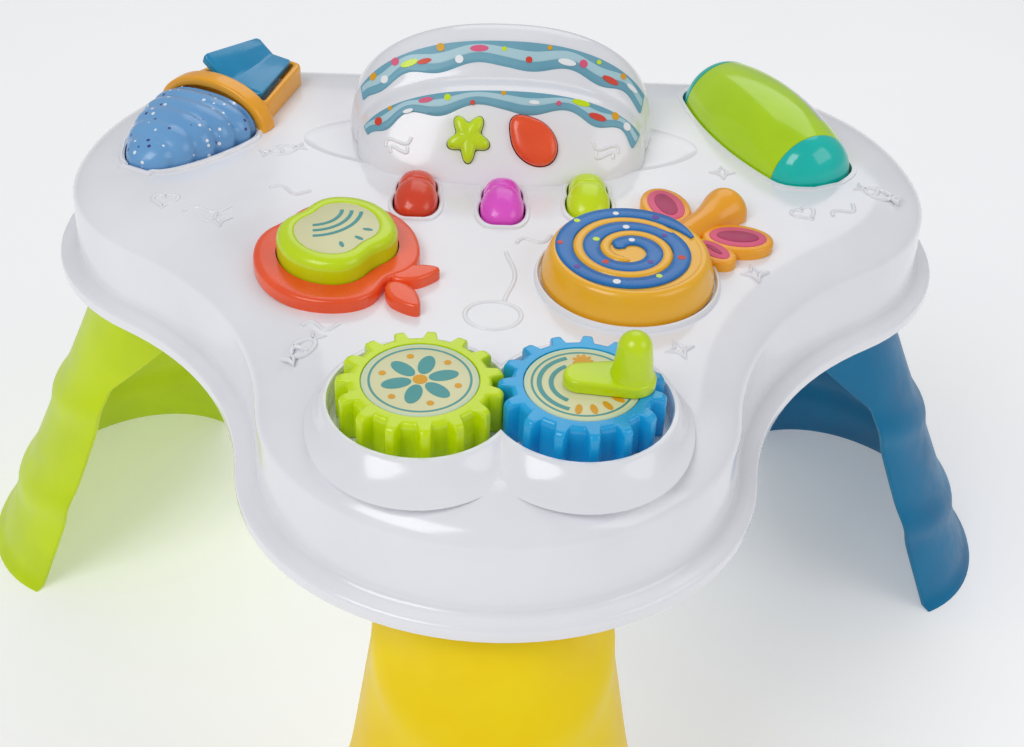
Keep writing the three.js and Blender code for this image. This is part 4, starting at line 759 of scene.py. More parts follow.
def dress_by_ink(groups: dict[str, list[Piece]], name: str, body: str) -> None:
    """Joins and dresses the printed shapes of each ink.

    Args:
        groups: the shapes by ink.
        name: start of each joined piece's name.
        body: the frame body that they ride on.
    """
    for ink, pieces in groups.items():
        dress(join_pieces(pieces, f"{name}_{ink}"), ink, body)


# Shapes that several sub-assemblies share


@dataclass(frozen=True)
class BarrelForm:
    """The roller drum's outline and place."""

    x: float = 124.5
    y: float = 90.0
    angle: float = -66.5
    axis_drop: float = 2.5
    radius: float = 25.5
    joint_radius: float = 20.6
    joint_at: float = 39.0
    tip_at: float = 52.0

    def frame(self) -> Matrix:
        """Returns the local frame whose Z is the drum's axis."""
        return place(self.x, self.y, PLAN.deck - self.axis_drop, self.angle) @ ALONG_X

    def radius_at(self, along: float) -> float:
        """Finds the drum's radius.

        Args:
            along: distance from its middle, to either side.

        Returns:
            The radius there.
        """
        along = abs(along)
        if along <= self.joint_at:
            return self.radius - (self.radius - self.joint_radius) * (along / self.joint_at) ** 2
        share = (along - self.joint_at) / (self.tip_at - self.joint_at)
        return self.joint_radius * math.sqrt(max(1 - share**2.4, 0.0)) * (1 - 0.12 * share)

    def profile(self, start: float, end: float, steps: int) -> list[Point]:
        """Draws the outline between two distances."""
        spots = [start + (end - start) * i / steps for i in range(steps + 1)]
        return [(max(self.radius_at(s), 0.4), s) for s in spots]


@dataclass(frozen=True)
class ScoopForm:
    """The ice-cream cone's place and its scoop's plan."""

    x: float = -133.5
    y: float = 91.0
    angle: float = -27.0
    half_width: float = 27.0
    length: float = 53.6
    height: float = 16.0
    start: float = 5.2
    ribs: int = 5

    def frame(self, z: float = 0.0) -> Matrix:
        """Returns the cone's local frame, a height above the deck."""
        return place(self.x, self.y, PLAN.deck + z, self.angle)

    def stations(self) -> list[list[float]]:
        """Lists the sections along the scoop.

        Returns:
            Rows of place, half width and height shares.
        """
        rows = [
            [0, 0.93, 0.9], [0.1, 1, 0.97], [0.26, 0.96, 1], [0.42, 0.87, 1], [0.57, 0.77, 0.94],
            [0.72, 0.64, 0.82], [0.85, 0.49, 0.64], [0.95, 0.32, 0.44], [1, 0.17, 0.26],
        ]
        return blend_table(rows, 6)

    def outline(self, inflate: float, scallop: float = 0.0) -> list[Point]:
        """Draws the scoop's plan.

        Args:
            inflate: how much larger it is all round.
            scallop: depth of the waves along its edge.

        Returns:
            The plan's points, counterclockwise.
        """
        rows = self.stations()
        side = []
        for i, (at, width, _) in enumerate(rows):
            wave = scallop * abs(math.sin(math.pi * self.ribs * at))
            ends = inflate if i == 0 else -inflate if i == len(rows) - 1 else 0.0
            side.append((self.half_width * width + inflate + wave, ends - self.start - at * self.length))
        return [(-x, y) for x, y in side] + list(reversed(side))


BARREL = BarrelForm()
SCOOP = ScoopForm()
GEAR_X = 28.55
DISC_PLACE = (51.0, -38.0)
CORE_PLACE = (-66.3, -29.5)
STAR_PLACE = (-15.0, 2.0)
BALLOON_PLACE = (14.0, 1.0)


def dip_at(angle: float, direction: float, spread: float) -> float:
    """Gives how deep an outline dips at an angle in radians, from 0 to 1."""
    off = angle - math.radians(direction)
    return math.exp(-((math.atan2(math.sin(off), math.cos(off)) / math.radians(spread)) ** 2))


def apple_button_outline(inflate: float, steps: int = 96) -> list[Point]:
    """Draws the apple button's plan.

    Args:
        inflate: how much larger it is all round.
        steps: how many points.

    Returns:
        The plan's points.
    """
    def radius_at(angle: float) -> float:
        """Gives the radius with its two dips."""
        return 1 - 0.17 * (dip_at(angle, -40, 24) + dip_at(angle, 140, 24))

    return polar(radius_at, steps, 24.5 + inflate, 26.5 + inflate)


def star_outline(inflate: float) -> list[Point]:
    """Draws the star button's plan with one lobe down, larger all round by a clearance."""
    return polar(lambda a: 8.9 + inflate + 2.3 * math.cos(5 * (a + math.pi / 2)), 120, 0.86)


def balloon_outline(inflate: float) -> list[Point]:
    """Draws the egg-shaped balloon button's plan.

    Args:
        inflate: how much larger it is all round.

    Returns:
        The plan's points.
    """
    knot = math.radians(131)

    def radius_at(angle: float) -> float:
        """Gives the radius of an oval that runs out to the knot."""
        off = angle - knot
        egg = 1 / math.hypot(math.cos(off) / 11.6, math.sin(off) / 9.0)
        return egg + inflate + 2.6 * max(0.0, math.cos(off)) ** 12

    return polar(radius_at, 120)


def twin_outline(radius: float, apron: float = 0.0, steps: int = 48) -> list[Point]:
    """Draws two overlapping rounds about the gears as one outline.

    Args:
        radius: of each round.
        apron: how much farther each reaches towards the player.
        steps: points on each round.

    Returns:
        The outline, counterclockwise, about the middle of the gears.
    """
    def reach(angle: float) -> float:
        """Gives how far a round reaches."""
        return radius + apron * max(0.0, -math.sin(angle)) ** 2

    front, back = math.pi / 2, math.acos(-GEAR_X / radius)
    step = math.pi / 4
    while step > 1e-7:
        if GEAR_X + reach(-front - step) * math.cos(front + step) > 0:
            front += step
        step /= 2
    turns = [-front + (front + back) * i / steps for i in range(steps + 1)]
    right = [(GEAR_X + reach(a) * math.cos(a), reach(a) * math.sin(a)) for a in turns]
    return right[:-1] + [(-x, y) for x, y in reversed(right[1:])]


def panel_frame(x: float, rise: float = 0.0) -> Matrix:
    """Returns the hood panel's local frame at a place across and up it; its Z points out of the panel."""
    middle = place(x, PLAN.panel_y, PLAN.deck + PLAN.panel_z)
    return middle @ Matrix.Rotation(math.radians(PLAN.slope), 4, "X") @ Matrix.Translation((0, rise, 0))


@dataclass
class HoodForm:
    """The arched hood as a row of arches from front to back."""

    front: float = 32.0
    depth: float = 82.0
    half_width: float = 70.0
    height: float = 50.0
    square: float = 0.86

    def stations(self, steps: int = 5) -> list[list[float]]:
        """Lists the sections along the hood.

        Args:
            steps: rows in each gap of the coarse table.

        Returns:
            Rows of depth, half width and height shares.
        """
        rows = [
            [0, 0.09, 0.0165], [0.024, 0.33, 0.06], [0.061, 0.54, 0.136], [0.11, 0.71, 0.236],
            [0.195, 0.836, 0.412], [0.27, 0.9, 0.56], [0.34, 0.93, 0.65], [0.463, 0.945, 0.67],
            [0.5, 0.965, 0.72], [0.573, 0.985, 0.85], [0.634, 1, 0.95], [0.707, 1, 1], [0.79, 1, 0.95],
            [0.878, 1, 0.84], [0.951, 0.97, 0.7], [1, 0.92, 0.5],
        ]
        return blend_table(rows, steps)

    def surface(self, at: float, angle: float, inflate: float = 0.0) -> Vector:
        """Finds a point of the hood.

        Args:
            at: share of the hood's depth.
            angle: place round the arch, from 0 at the right foot to pi at the left.
            inflate: how far it stands off the hood.

        Returns:
            The point in table millimetres.
        """
        rows = self.stations()
        width, height = rows[-1][1], rows[-1][2]
        for low, high in zip(rows, rows[1:]):
            if low[0] <= at <= high[0]:
                share = (at - low[0]) / max(high[0] - low[0], 1e-9)
                width = low[1] + (high[1] - low[1]) * share
                height = low[2] + (high[2] - low[2]) * share
                break
        cosine, sine = math.cos(angle), math.sin(angle)
        x = (self.half_width * width + inflate) * squared(cosine, self.square)
        z = (self.height * height + inflate) * abs(sine) ** self.square
        return Vector((x, self.front + at * self.depth, PLAN.deck + z))


HOOD = HoodForm()


# Sub-assemblies


@dataclass
class Shell:
    """The white top with its dish, gear pocket, collars and openings."""

    shoulder: float = 34.0
    crown: float = 30.0
    pocket_drop: float = 2.0
    cut: float = 8.0
    under_edge: Profile = ((11.0, 1.0), (10.8, 0.4), (10.2, 0.0))
    rim: Profile = (
        (0.9, 0.0), (0.3, 0.3), (0.0, 1.0), (0.0, 4.6), (0.3, 5.5), (1.1, 6.2), (2.3, 6.5),
        (5.4, 6.9), (6.9, 7.4), (7.8, 8.4), (8.2, 10.0), (8.6, 16.0), (9.1, 26.0),
    )
    # Radius of each round, how far it reaches to the player, and height
    plateau: tuple[tuple[float, float, float], ...] = (
        (41.0, 9.5, -1.0), (39.6, 8.4, -0.1), (38.6, 7.2, 0.4), (37.5, 5.6, 1.5), (36.6, 3.6, 3.2),
        (35.9, 1.8, 5.0), (35.4, 0.6, 6.3), (34.9, 0.1, 6.9), (34.3, 0.0, 7.1), (33.7, 0.0, 7.0),
    )
    pocket: Profile = ((34.0, 8.2), (33.2, 7.0), (32.7, 6.0), (32.6, 5.0))
    # Half length, half width and height of the dish's rings
    dish: tuple[tuple[float, float, float], ...] = (
        (84.5, 23.5, -1.5), (88.0, 27.0, -1.1), (90.4, 29.4, -0.3), (91.6, 30.6, 0.6),
    )
    dish_at: float = 0.48
    disc_collar: Profile = (
        (37.9, -0.5), (37.8, 0.4), (37.5, 1.5), (37.0, 2.2),
        (36.5, 2.3), (36.1, 1.9), (35.9, 1.0), (35.9, -0.5),
    )
    scoop_collar: Profile = (
        (3.6, -0.5), (3.4, 0.4), (2.8, 1.2), (2.1, 1.5), (1.4, 1.4), (0.9, 1.0),
    )
    key_lip: Profile = (
        (2.7, -0.5), (2.6, 0.3), (2.3, 0.9), (1.8, 1.15), (1.3, 1.1), (0.9, 0.8),
    )
    gear_hub: Profile = ((6.3, -12.0), (6.3, 2.0))
    disc_hub: Profile = ((7.8, -8.0), (7.8, 2.0))
    clearance: float = 0.8
    drum_clearance: float = 1.0
    drum_collar: float = 2.6
    drum_reach: int = 54
    drum_step: int = 3

    def rings(self) -> list[Ring]:
        """Lays the rings of the hollow shell.

        Returns:
            The rings, from the deck's underside round to its top.
        """
        table = place(0, 0, 0)
        wall = PLAN.wall
        under = PLAN.deck - wall
        inner = [(50.0, under)]
        outer = []
        steps = 12
        for i in range(steps + 1):
            angle = math.pi / 2 * (1 - i / steps)
            inset, rise = self.crown * (1 - math.cos(angle)), math.sin(angle)
            inner.append((11.5 + inset, self.shoulder + (under - self.shoulder) * rise))
            angle = math.pi / 2 - angle
            inset, rise = self.crown * (1 - math.cos(angle)), math.sin(angle)
            outer.append((9.5 + inset, self.shoulder + (PLAN.deck - self.shoulder) * rise))
        profile = [*inner, *self.under_edge, *self.rim, *outer, (48.0, PLAN.deck)]
        return [level(PLAN.outline(inset), z, table) for inset, z in profile]

    def add_plateau(self, shell: Piece) -> None:
        """Raises the ramped plateau round the gears and sinks their pocket into it.

        Args:
            shell: the top.
        """
        at = place(0, PLAN.gear_y, PLAN.deck)
        ramp = [level(twin_outline(radius, apron), z, at) for radius, apron, z in self.plateau]
        combine(shell, loft("plateau", ramp), "UNION")
        floor = [(32.6, 0.6 - self.pocket_drop), (32.2, -self.pocket_drop)]
        combine(shell, stack("pocket", twin_outline, [*self.pocket, *floor], at))
        for side in (-1, 1):
            combine(shell, turned("hub", self.gear_hub, place(side * GEAR_X, PLAN.gear_y, PLAN.deck), 32))

    def add_dish(self, shell: Piece) -> None:
        """Sinks the shallow dish that runs past both ends of the hood.

        Args:
            shell: the top.
        """
        at = place(0, HOOD.front + HOOD.depth * self.dish_at, PLAN.deck)
        unit = arc(0, 0, 1, 0, 2 * math.pi, 128)
        rings = [level([(a * x, b * y) for x, y in unit], z, at) for a, b, z in self.dish]
        combine(shell, loft("dish", rings))

    def add_collars(self, shell: Piece) -> None:
        """Raises the collars of the disc, the scoop and the drum, and opens the deck in them.

        Args:
            shell: the top.
        """
        disc = place(*DISC_PLACE, PLAN.deck)
        combine(shell, turned("disc_collar", self.disc_collar, disc, 96, loop=True), "UNION")
        combine(shell, turned("disc_hub", self.disc_hub, disc, 32))
        cone = SCOOP.frame()
        collar = stack("scoop_collar", lambda grow: SCOOP.outline(grow, 0.5), self.scoop_collar, cone)
        combine(shell, collar, "UNION")
        combine(shell, slab("scoop_hole", SCOOP.outline(self.clearance), -self.cut, self.cut, cone))
        across = box_outline(300, 300, BARREL.x, BARREL.y)
        drum_edge = self.drum_space("drum_collar", self.drum_collar)
        layer = slab("drum_slab", across, PLAN.deck - 7.0, PLAN.deck + 0.6, place(0, 0, 0))
        combine(drum_edge, layer, "INTERSECT")
        round_edges(drum_edge, 0.5, 2, 60)
        combine(shell, drum_edge, "UNION")
        combine(shell, self.drum_space("drum_hole", self.drum_clearance))

    def drum_space(self, name: str, inflate: float) -> Piece:
        """Lofts the drum's outline with room round it.

        Args:
            name: the piece's name.
            inflate: how much larger it is all round.

        Returns:
            The piece.
        """
        rings = []
        for along in range(-self.drum_reach, self.drum_reach + 1, self.drum_step):
            stretch = (BARREL.tip_at + inflate) / self.drum_reach
            radius = max(BARREL.radius_at(along * BARREL.tip_at / self.drum_reach), 6.0) + inflate
            circle = arc(0, 0, radius, 0, 2 * math.pi, 64)
            rings.append(level(circle, along * stretch, BARREL.frame()))
        return loft(name, rings)

    def cut_openings(self, shell: Piece) -> None:
        """Raises a lip round each key's slot, and opens the deck for the keys and the apple button.

        Args:
            shell: the top.
        """
        deck = place(0, 0, PLAN.deck)
        for key in KEYS:
            combine(shell, stack("key_lip", key.outline, self.key_lip, deck), "UNION")
        for key in KEYS:
            combine(shell, slab("key_slot", key.outline(self.clearance), -self.cut, self.cut, deck))
        core = apple_button_outline(self.clearance)
        combine(shell, slab("apple_hole", core, -self.cut, self.cut, place(*CORE_PLACE, PLAN.deck)))

    def build(self) -> None:
        """Makes the shell."""
        shell = loft("top_shell_form", self.rings())
        self.add_dish(shell)
        self.add_collars(shell)
        self.add_plateau(shell)
        self.cut_openings(shell)
        dress(shell, "white", "table", ["top_shell"], crease=32, weighted=True)


@dataclass(frozen=True)
class KeySpot:
    """One piano key's place, form and finish."""

    node: str
    body: str
    x: float
    rear: float
    finish: str
    length: float = 29.5
    half_width: float = 9.4
    height: float = 8.8

    def rows(self, steps: int = 5) -> list[list[float]]:
        """Lists the key's sections, with one thin crease.

        Args:
            steps: rows in each gap of the coarse table.

        Returns:
            Rows of place from the rear, half width and height shares.
        """
        rows = [
            [0, 0.5, 0.4], [0.02, 0.6, 0.56], [0.06, 0.73, 0.74], [0.14, 0.84, 0.9],
            [0.24, 0.885, 0.98], [0.35, 0.885, 0.99], [0.375, 0.875, 0.975], [0.39, 0.865, 0.93],
            [0.405, 0.88, 0.95], [0.44, 0.93, 1], [0.52, 0.985, 1.02], [0.64, 1, 0.98],
            [0.8, 0.93, 0.82], [0.92, 0.73, 0.56], [0.98, 0.5, 0.34], [1, 0.3, 0.2],
        ]
        return blend_table(rows, steps)

    def outline(self, inflate: float) -> list[Point]:
        """Draws the key's opening, with room for its swing in front.

        Args:
            inflate: how much larger it is all round.

        Returns:
            The plan's points.
        """
        side = [
            (self.half_width * width + inflate, self.rear + inflate - at * (self.length + 2 * inflate + 1.0))
            for at, width, _ in self.rows(3)
        ]
        return [(self.x - w, y) for w, y in side] + [(self.x + w, y) for w, y in reversed(side)]

    def form(self, name: str, inflate: float, foot: float) -> Piece:
        """Lofts the key as a row of arches.

        Args:
            name: the piece's name.
            inflate: how much larger it is all round.
            foot: its lower face, counted from the deck.

        Returns:
            The piece.
        """
        at = place(self.x, self.rear + inflate, PLAN.deck) @ ALONG_Y
        rings = []
        for along, width, height in self.rows():
            half, tall = self.half_width * width + inflate, self.height * height + inflate
            dome = [
                (half * squared(math.cos(a), 0.9), tall * abs(math.sin(a)) ** 0.9)
                for a in [math.pi * i / 28 for i in range(29)]
            ]
            rings.append(level(dome + [(-half, foot), (half, foot)], along * (self.length + 2 * inflate), at))
        return loft(name, rings)


KEYS = (
    KeySpot("key_red", "red_key", -36.8, 35.0, "key_red"),
    KeySpot("key_pink", "pink_key", 0.4, 30.4, "pink"),
    KeySpot("key_green", "green_key", 37.8, 36.4, "lime"),
)


@dataclass
class Relief:
    """Thin raised drawings moulded into the deck: sweets, stars, hearts and wisps."""

    bead: float = 1.05
    sink: float = 0.3
    # Each drawing's place and turn, and a wisp's length
    sweets: tuple[Spot, ...] = ((-99, 59, 24), (168, 36, -30), (-74, -90, 60))
    stars: tuple[Spot, ...] = ((100, 50, 0), (68, -85, 20), (104, -31, 10), (-119, -2, 15))
    hearts: tuple[Spot, ...] = ((132, 17, 30), (-144, 13, 0))
    wisps: tuple[Spot, ...] = (
        (-125, 6, 10, 20), (14, -11, 20, 16), (-69, -76, 0, 14), (-92, 24, -10, 18), (150, 20, 40, 15),
    )

    def sweet(self) -> list[Line]:
        """Draws a wrapped sweet with twisted ends.

        Returns:
            Its lines, each with whether it is closed.
        """
        body = [(6.0 * math.cos(a), 3.6 * math.sin(a)) for a in angles(28)]
        twist = ((6.0, 0.0), (10.0, 2.8), (9.0, 0.0), (10.0, -2.8), (6.0, 0.0))
        wrappers = [([(side * reach, up) for reach, up in twist], False) for side in (-1, 1)]
        stripe = [(-1.6 + 1.2 * math.sin(t * math.pi), -3.4 + 6.8 * t) for t in shares(8)]
        return [(body, True), *wrappers, (stripe, False)]

    def star(self) -> list[Line]:
        """Draws a small pointed star.

        Returns:
            Its line, which is closed.
        """
        outline = []
        for i in range(8):
            radius = 5.4 if i % 2 == 0 else 2.0
            outline.append((radius * math.cos(i * math.pi / 4), radius * math.sin(i * math.pi / 4)))
        return [(outline, True)]

    def heart(self) -> list[Line]:
        """Draws a small heart.

        Returns:
            Its line, which is closed.
        """
        outline = []
        for a in angles(32):
            u = 16 * math.sin(a) ** 3
            v = 13 * math.cos(a) - 5 * math.cos(2 * a) - 2 * math.cos(3 * a) - math.cos(4 * a)
            outline.append((0.34 * u, 0.34 * v))
        return [(outline, True)]

    def wisp(self, length: float) -> list[Line]:
        """Draws a curling wisp."""
        return [([(length * (t - 0.5), 2.6 * math.sin(2.2 * math.pi * t)) for t in shares(20)], False)]

    def loop(self) -> list[Line]:
        """Draws the balloon between the apple and the disc."""
        return [([(11.0 * math.cos(a), 9.4 * math.sin(a)) for a in angles(40)], True)]

    def string(self) -> list[Line]:
        """Draws the balloon's string."""
        return [([(3.0 + 4.5 * math.sin(4.4 * t) * t, 9.4 + 36 * t) for t in shares(26)], False)]

    def build(self) -> None:
        """Makes all the drawings as one piece."""
        drawn = (
            (self.loop, ((-3, -66, 0),)), (self.string, ((-3, -66, -8),)),
            (self.sweet, self.sweets), (self.star, self.stars),
            (self.heart, self.hearts), (self.wisp, self.wisps),
        )
        beads = []
        for draw, spots in drawn:
            for x, y, turn, *length in spots:
                at = place(x, y, PLAN.deck, turn)
                for points, closed in draw(*length):
                    beads.append(wire("drawing", level(points, -self.sink, at), self.bead, closed))
        dress(join_pieces(beads, "deck_drawings"), "white", "table", crease=60)


def squared(value: float, power: float) -> float:
    """Bends a sine or cosine towards a squarer outline and keeps its sign."""
    return math.copysign(abs(value) ** power, value)


def angles(count: int) -> list[float]:
    """Returns evenly spaced angles of a full turn, in radians."""
    return [2 * math.pi * i / count for i in range(count)]


def shares(count: int) -> list[float]:
    """Returns evenly spaced shares from 0 to 1."""
    return [i / count for i in range(count + 1)]


@dataclass
class Hood:
    """The arched hood, its two printed bands and its two buttons."""

    arch_steps: int = 64
    foot: float = -1.2
    band_lift: float = 0.35
    band_thickness: float = 0.5
    waves: float = 4.5
    hole_clearance: float = 0.5
    hole_floor: float = -9.6
    button: Profile = (
        (0.0, -6.6), (0.0, 1.4), (-0.15, 2.1), (-0.6, 2.8),
        (-1.3, 3.3), (-2.4, 3.7), (-4.2, 3.95), (-6.2, 4.0),
    )

    def arch(self, at: float) -> Ring:
        """Lays one closed arch of the hood, from foot to foot.

        Args:
            at: share of the hood's depth.

        Returns:
            The ring.
        """
        table = place(0, 0, 0)
        top = [HOOD.surface(at, math.pi * i / self.arch_steps) for i in range(self.arch_steps + 1)]
        left, right = top[-1].copy(), top[0].copy()
        left.z = right.z = PLAN.deck + self.foot
        return [table @ p for p in top + [left, right]]

    def make_shell(self) -> None:
        """Lofts the hood and opens it for the two buttons."""
        rows = [row[0] for row in HOOD.stations(4)]
        shell = loft("hood_form", [self.arch(at) for at in rows])
        round_edges(shell, 1.6, 4, 40)
        for spot, outline in ((STAR_PLACE, star_outline), (BALLOON_PLACE, balloon_outline)):
            opening = outline(self.hole_clearance)
            combine(shell, slab("button_hole", opening, self.hole_floor, 12.0, panel_frame(*spot)))
        for key in KEYS:
            combine(shell, key.form("key_arch", 0.6, -3.0))
        dress(shell, "white", "table", ["hood_shell"], crease=30, weighted=True)

    def band(
        self, name: str, low: float, high: float, depth: float, foot: float, top: float = 0.0
    ) -> Piece:
        """Makes a thin skin on the hood with a wavy lower edge.

        Args:
            name: the piece's name.
            low: share of the hood's depth at the lower edge.
            high: share at the upper edge.
            depth: how deep they are, as a share of the hood's depth.
            foot: angle from the foot at which the skin starts.
            top: depth of the waves along the upper edge, for a thin strip on top of a band.

        Returns:
            The skin.
        """
        table = place(0, 0, 0)
        across, along = 120, 6
        rings = []
        for i in range(across + 1):
            share = i / across
            angle = foot + (math.pi - 2 * foot) * share
            wave = 0.5 + 0.5 * math.cos(2 * math.pi * self.waves * share)
            start, end = low - depth * wave, high - top * wave
            outer = self.band_lift + self.band_thickness + (0.15 if top else 0.0)
            row = []
            for side, lift in ((1, outer), (-1, self.band_lift - 0.3)):
                spots = range(along + 1) if side > 0 else range(along, -1, -1)
                row += [table @ HOOD.surface(start + (end - start) * k / along, angle, lift) for k in spots]
            rings.append(row)
        skin = loft(name, rings)
        smooth(skin, 50)
        return skin

    def make_bands(self) -> None:
        """Makes the two printed bands, each with a paler wavy strip painted on as the highlight along its upper
        part, and sprinkles on each.
        """
        skins = (("rear", 0.53, 0.605, 0.03, 0.42), ("front", 0.275, 0.33, 0.035, 0.36))
        for name, low, high, depth, foot in skins:
            skin = self.band(f"{name}_band_skin", low, high, depth, foot)
            dress(skin, "print", "table", [f"hood_{name}_band"])
        # The paler wavy strips are painted highlights along the upper part of each band
        waves = (("rear", 0.562, 0.592, 0.03, 0.44), ("front", 0.3, 0.32, 0.03, 0.38))
        for name, low, high, depth, foot in waves:
            wave = self.band(f"{name}_band_painted_highlight", low, high, depth, foot, 0.022)
            dress(wave, "painted_band_highlight", "table")
        self.make_sprinkles("rear_band_print", 0.53, 0.6, 0.55, 17, 11)
        self.make_sprinkles("front_band_print", 0.27, 0.322, 0.5, 13, 5)

    def make_sprinkles(self, name: str, low: float, high: float, foot: float, count: int, seed: int) -> None:
        """Scatters small printed discs and dashes over a band.

        Args:
            name: the piece's name.
            low: share of the hood's depth at which they start.
            high: share at which they end.
            foot: angle from the foot at which they start.
            count: how many there are.
            seed: of the scatter.
        """
        draw = random.Random(seed)
        table = place(0, 0, 0)
        inks = ["ink_white", "ink_ochre", "ink_red", "lime", "ink_pink"]
        groups: dict[str, list[Piece]] = {ink: [] for ink in inks}
        for i in range(count):
            angle = foot + (math.pi - 2 * foot) * (i + 0.5) / count
            at = low + (high - low) * (0.5 + 0.42 * math.sin(2.4 * i))
            lift = self.band_lift + self.band_thickness
            spot = HOOD.surface(at, angle, lift)
            along = HOOD.surface(at, angle + 0.01, lift) - spot
            down = HOOD.surface(at - 0.005, angle, lift) - spot
            normal = along.cross(down)
            if normal.z < 0:
                normal.negate()
            radius = draw.choice((1.1, 1.5, 1.9))
            axes = [along.normalized(), normal.cross(along).normalized(), normal.normalized()]
            local = table @ Matrix.Translation(spot) @ Matrix(axes).transposed().to_4x4()
            length = draw.choice((1.0, 1.0, 2.2))
            outline = polar(lambda a: radius, 14, length, 0.8 if length > 1 else 1.0)
            groups[inks[i % len(inks)]].append(slab("sprinkle", outline, -0.2, 0.3, local))
        dress_by_ink(groups, name, "table")

    def make_button(
        self, node: str, body: str, spot: Point, outline: Callable[[float], list[Point]], finish: str
    ) -> None:
        """Makes one shaped button of the sloping panel.

        Args:
            node: the frame node that it replaces.
            body: the frame body that it rides on.
            spot: its place across and up the panel.
            outline: draws its plan at an inflation.
            finish: its finish.
        """
        button = stack(f"{node}_form", outline, self.button, panel_frame(*spot))
        dress(button, finish, body, [node], crease=50)

    def make_wisps(self) -> None:
        """Raises a curling wisp on the panel at either side of the buttons."""
        table = place(0, 0, 0)
        wisps = []
        for side in (-1, 1):
            for low, length in ((0.185, 0.36), (0.155, 0.26)):
                path = []
                for t in shares(24):
                    at = low + 0.02 * math.sin(2 * math.pi * t)
                    angle = math.pi / 2 + side * (1.08 - length * t)
                    path.append(table @ HOOD.surface(at, angle, -self.band_lift))
                wisps.append(wire("wisp", path, 0.9))
        raised = join_pieces(wisps, "hood_wisps")
        dress(raised, "white", "table", crease=60)

    def build(self) -> None:
        """Makes the hood with everything on it."""
        self.make_shell()
        self.make_bands()
        self.make_wisps()
        self.make_button("star_button", "star", STAR_PLACE, star_outline, "lime")
        self.make_button("balloon_button", "balloon", BALLOON_PLACE, balloon_outline, "red")


class Keys:
    """The three piano keys."""

    def build(self) -> None:
        """Makes each key."""
        for key in KEYS:
            piece = key.form(f"{key.node}_form", 0.0, -3.4)
            smooth(piece, 50)
            dress(piece, key.finish, key.body, [key.node])


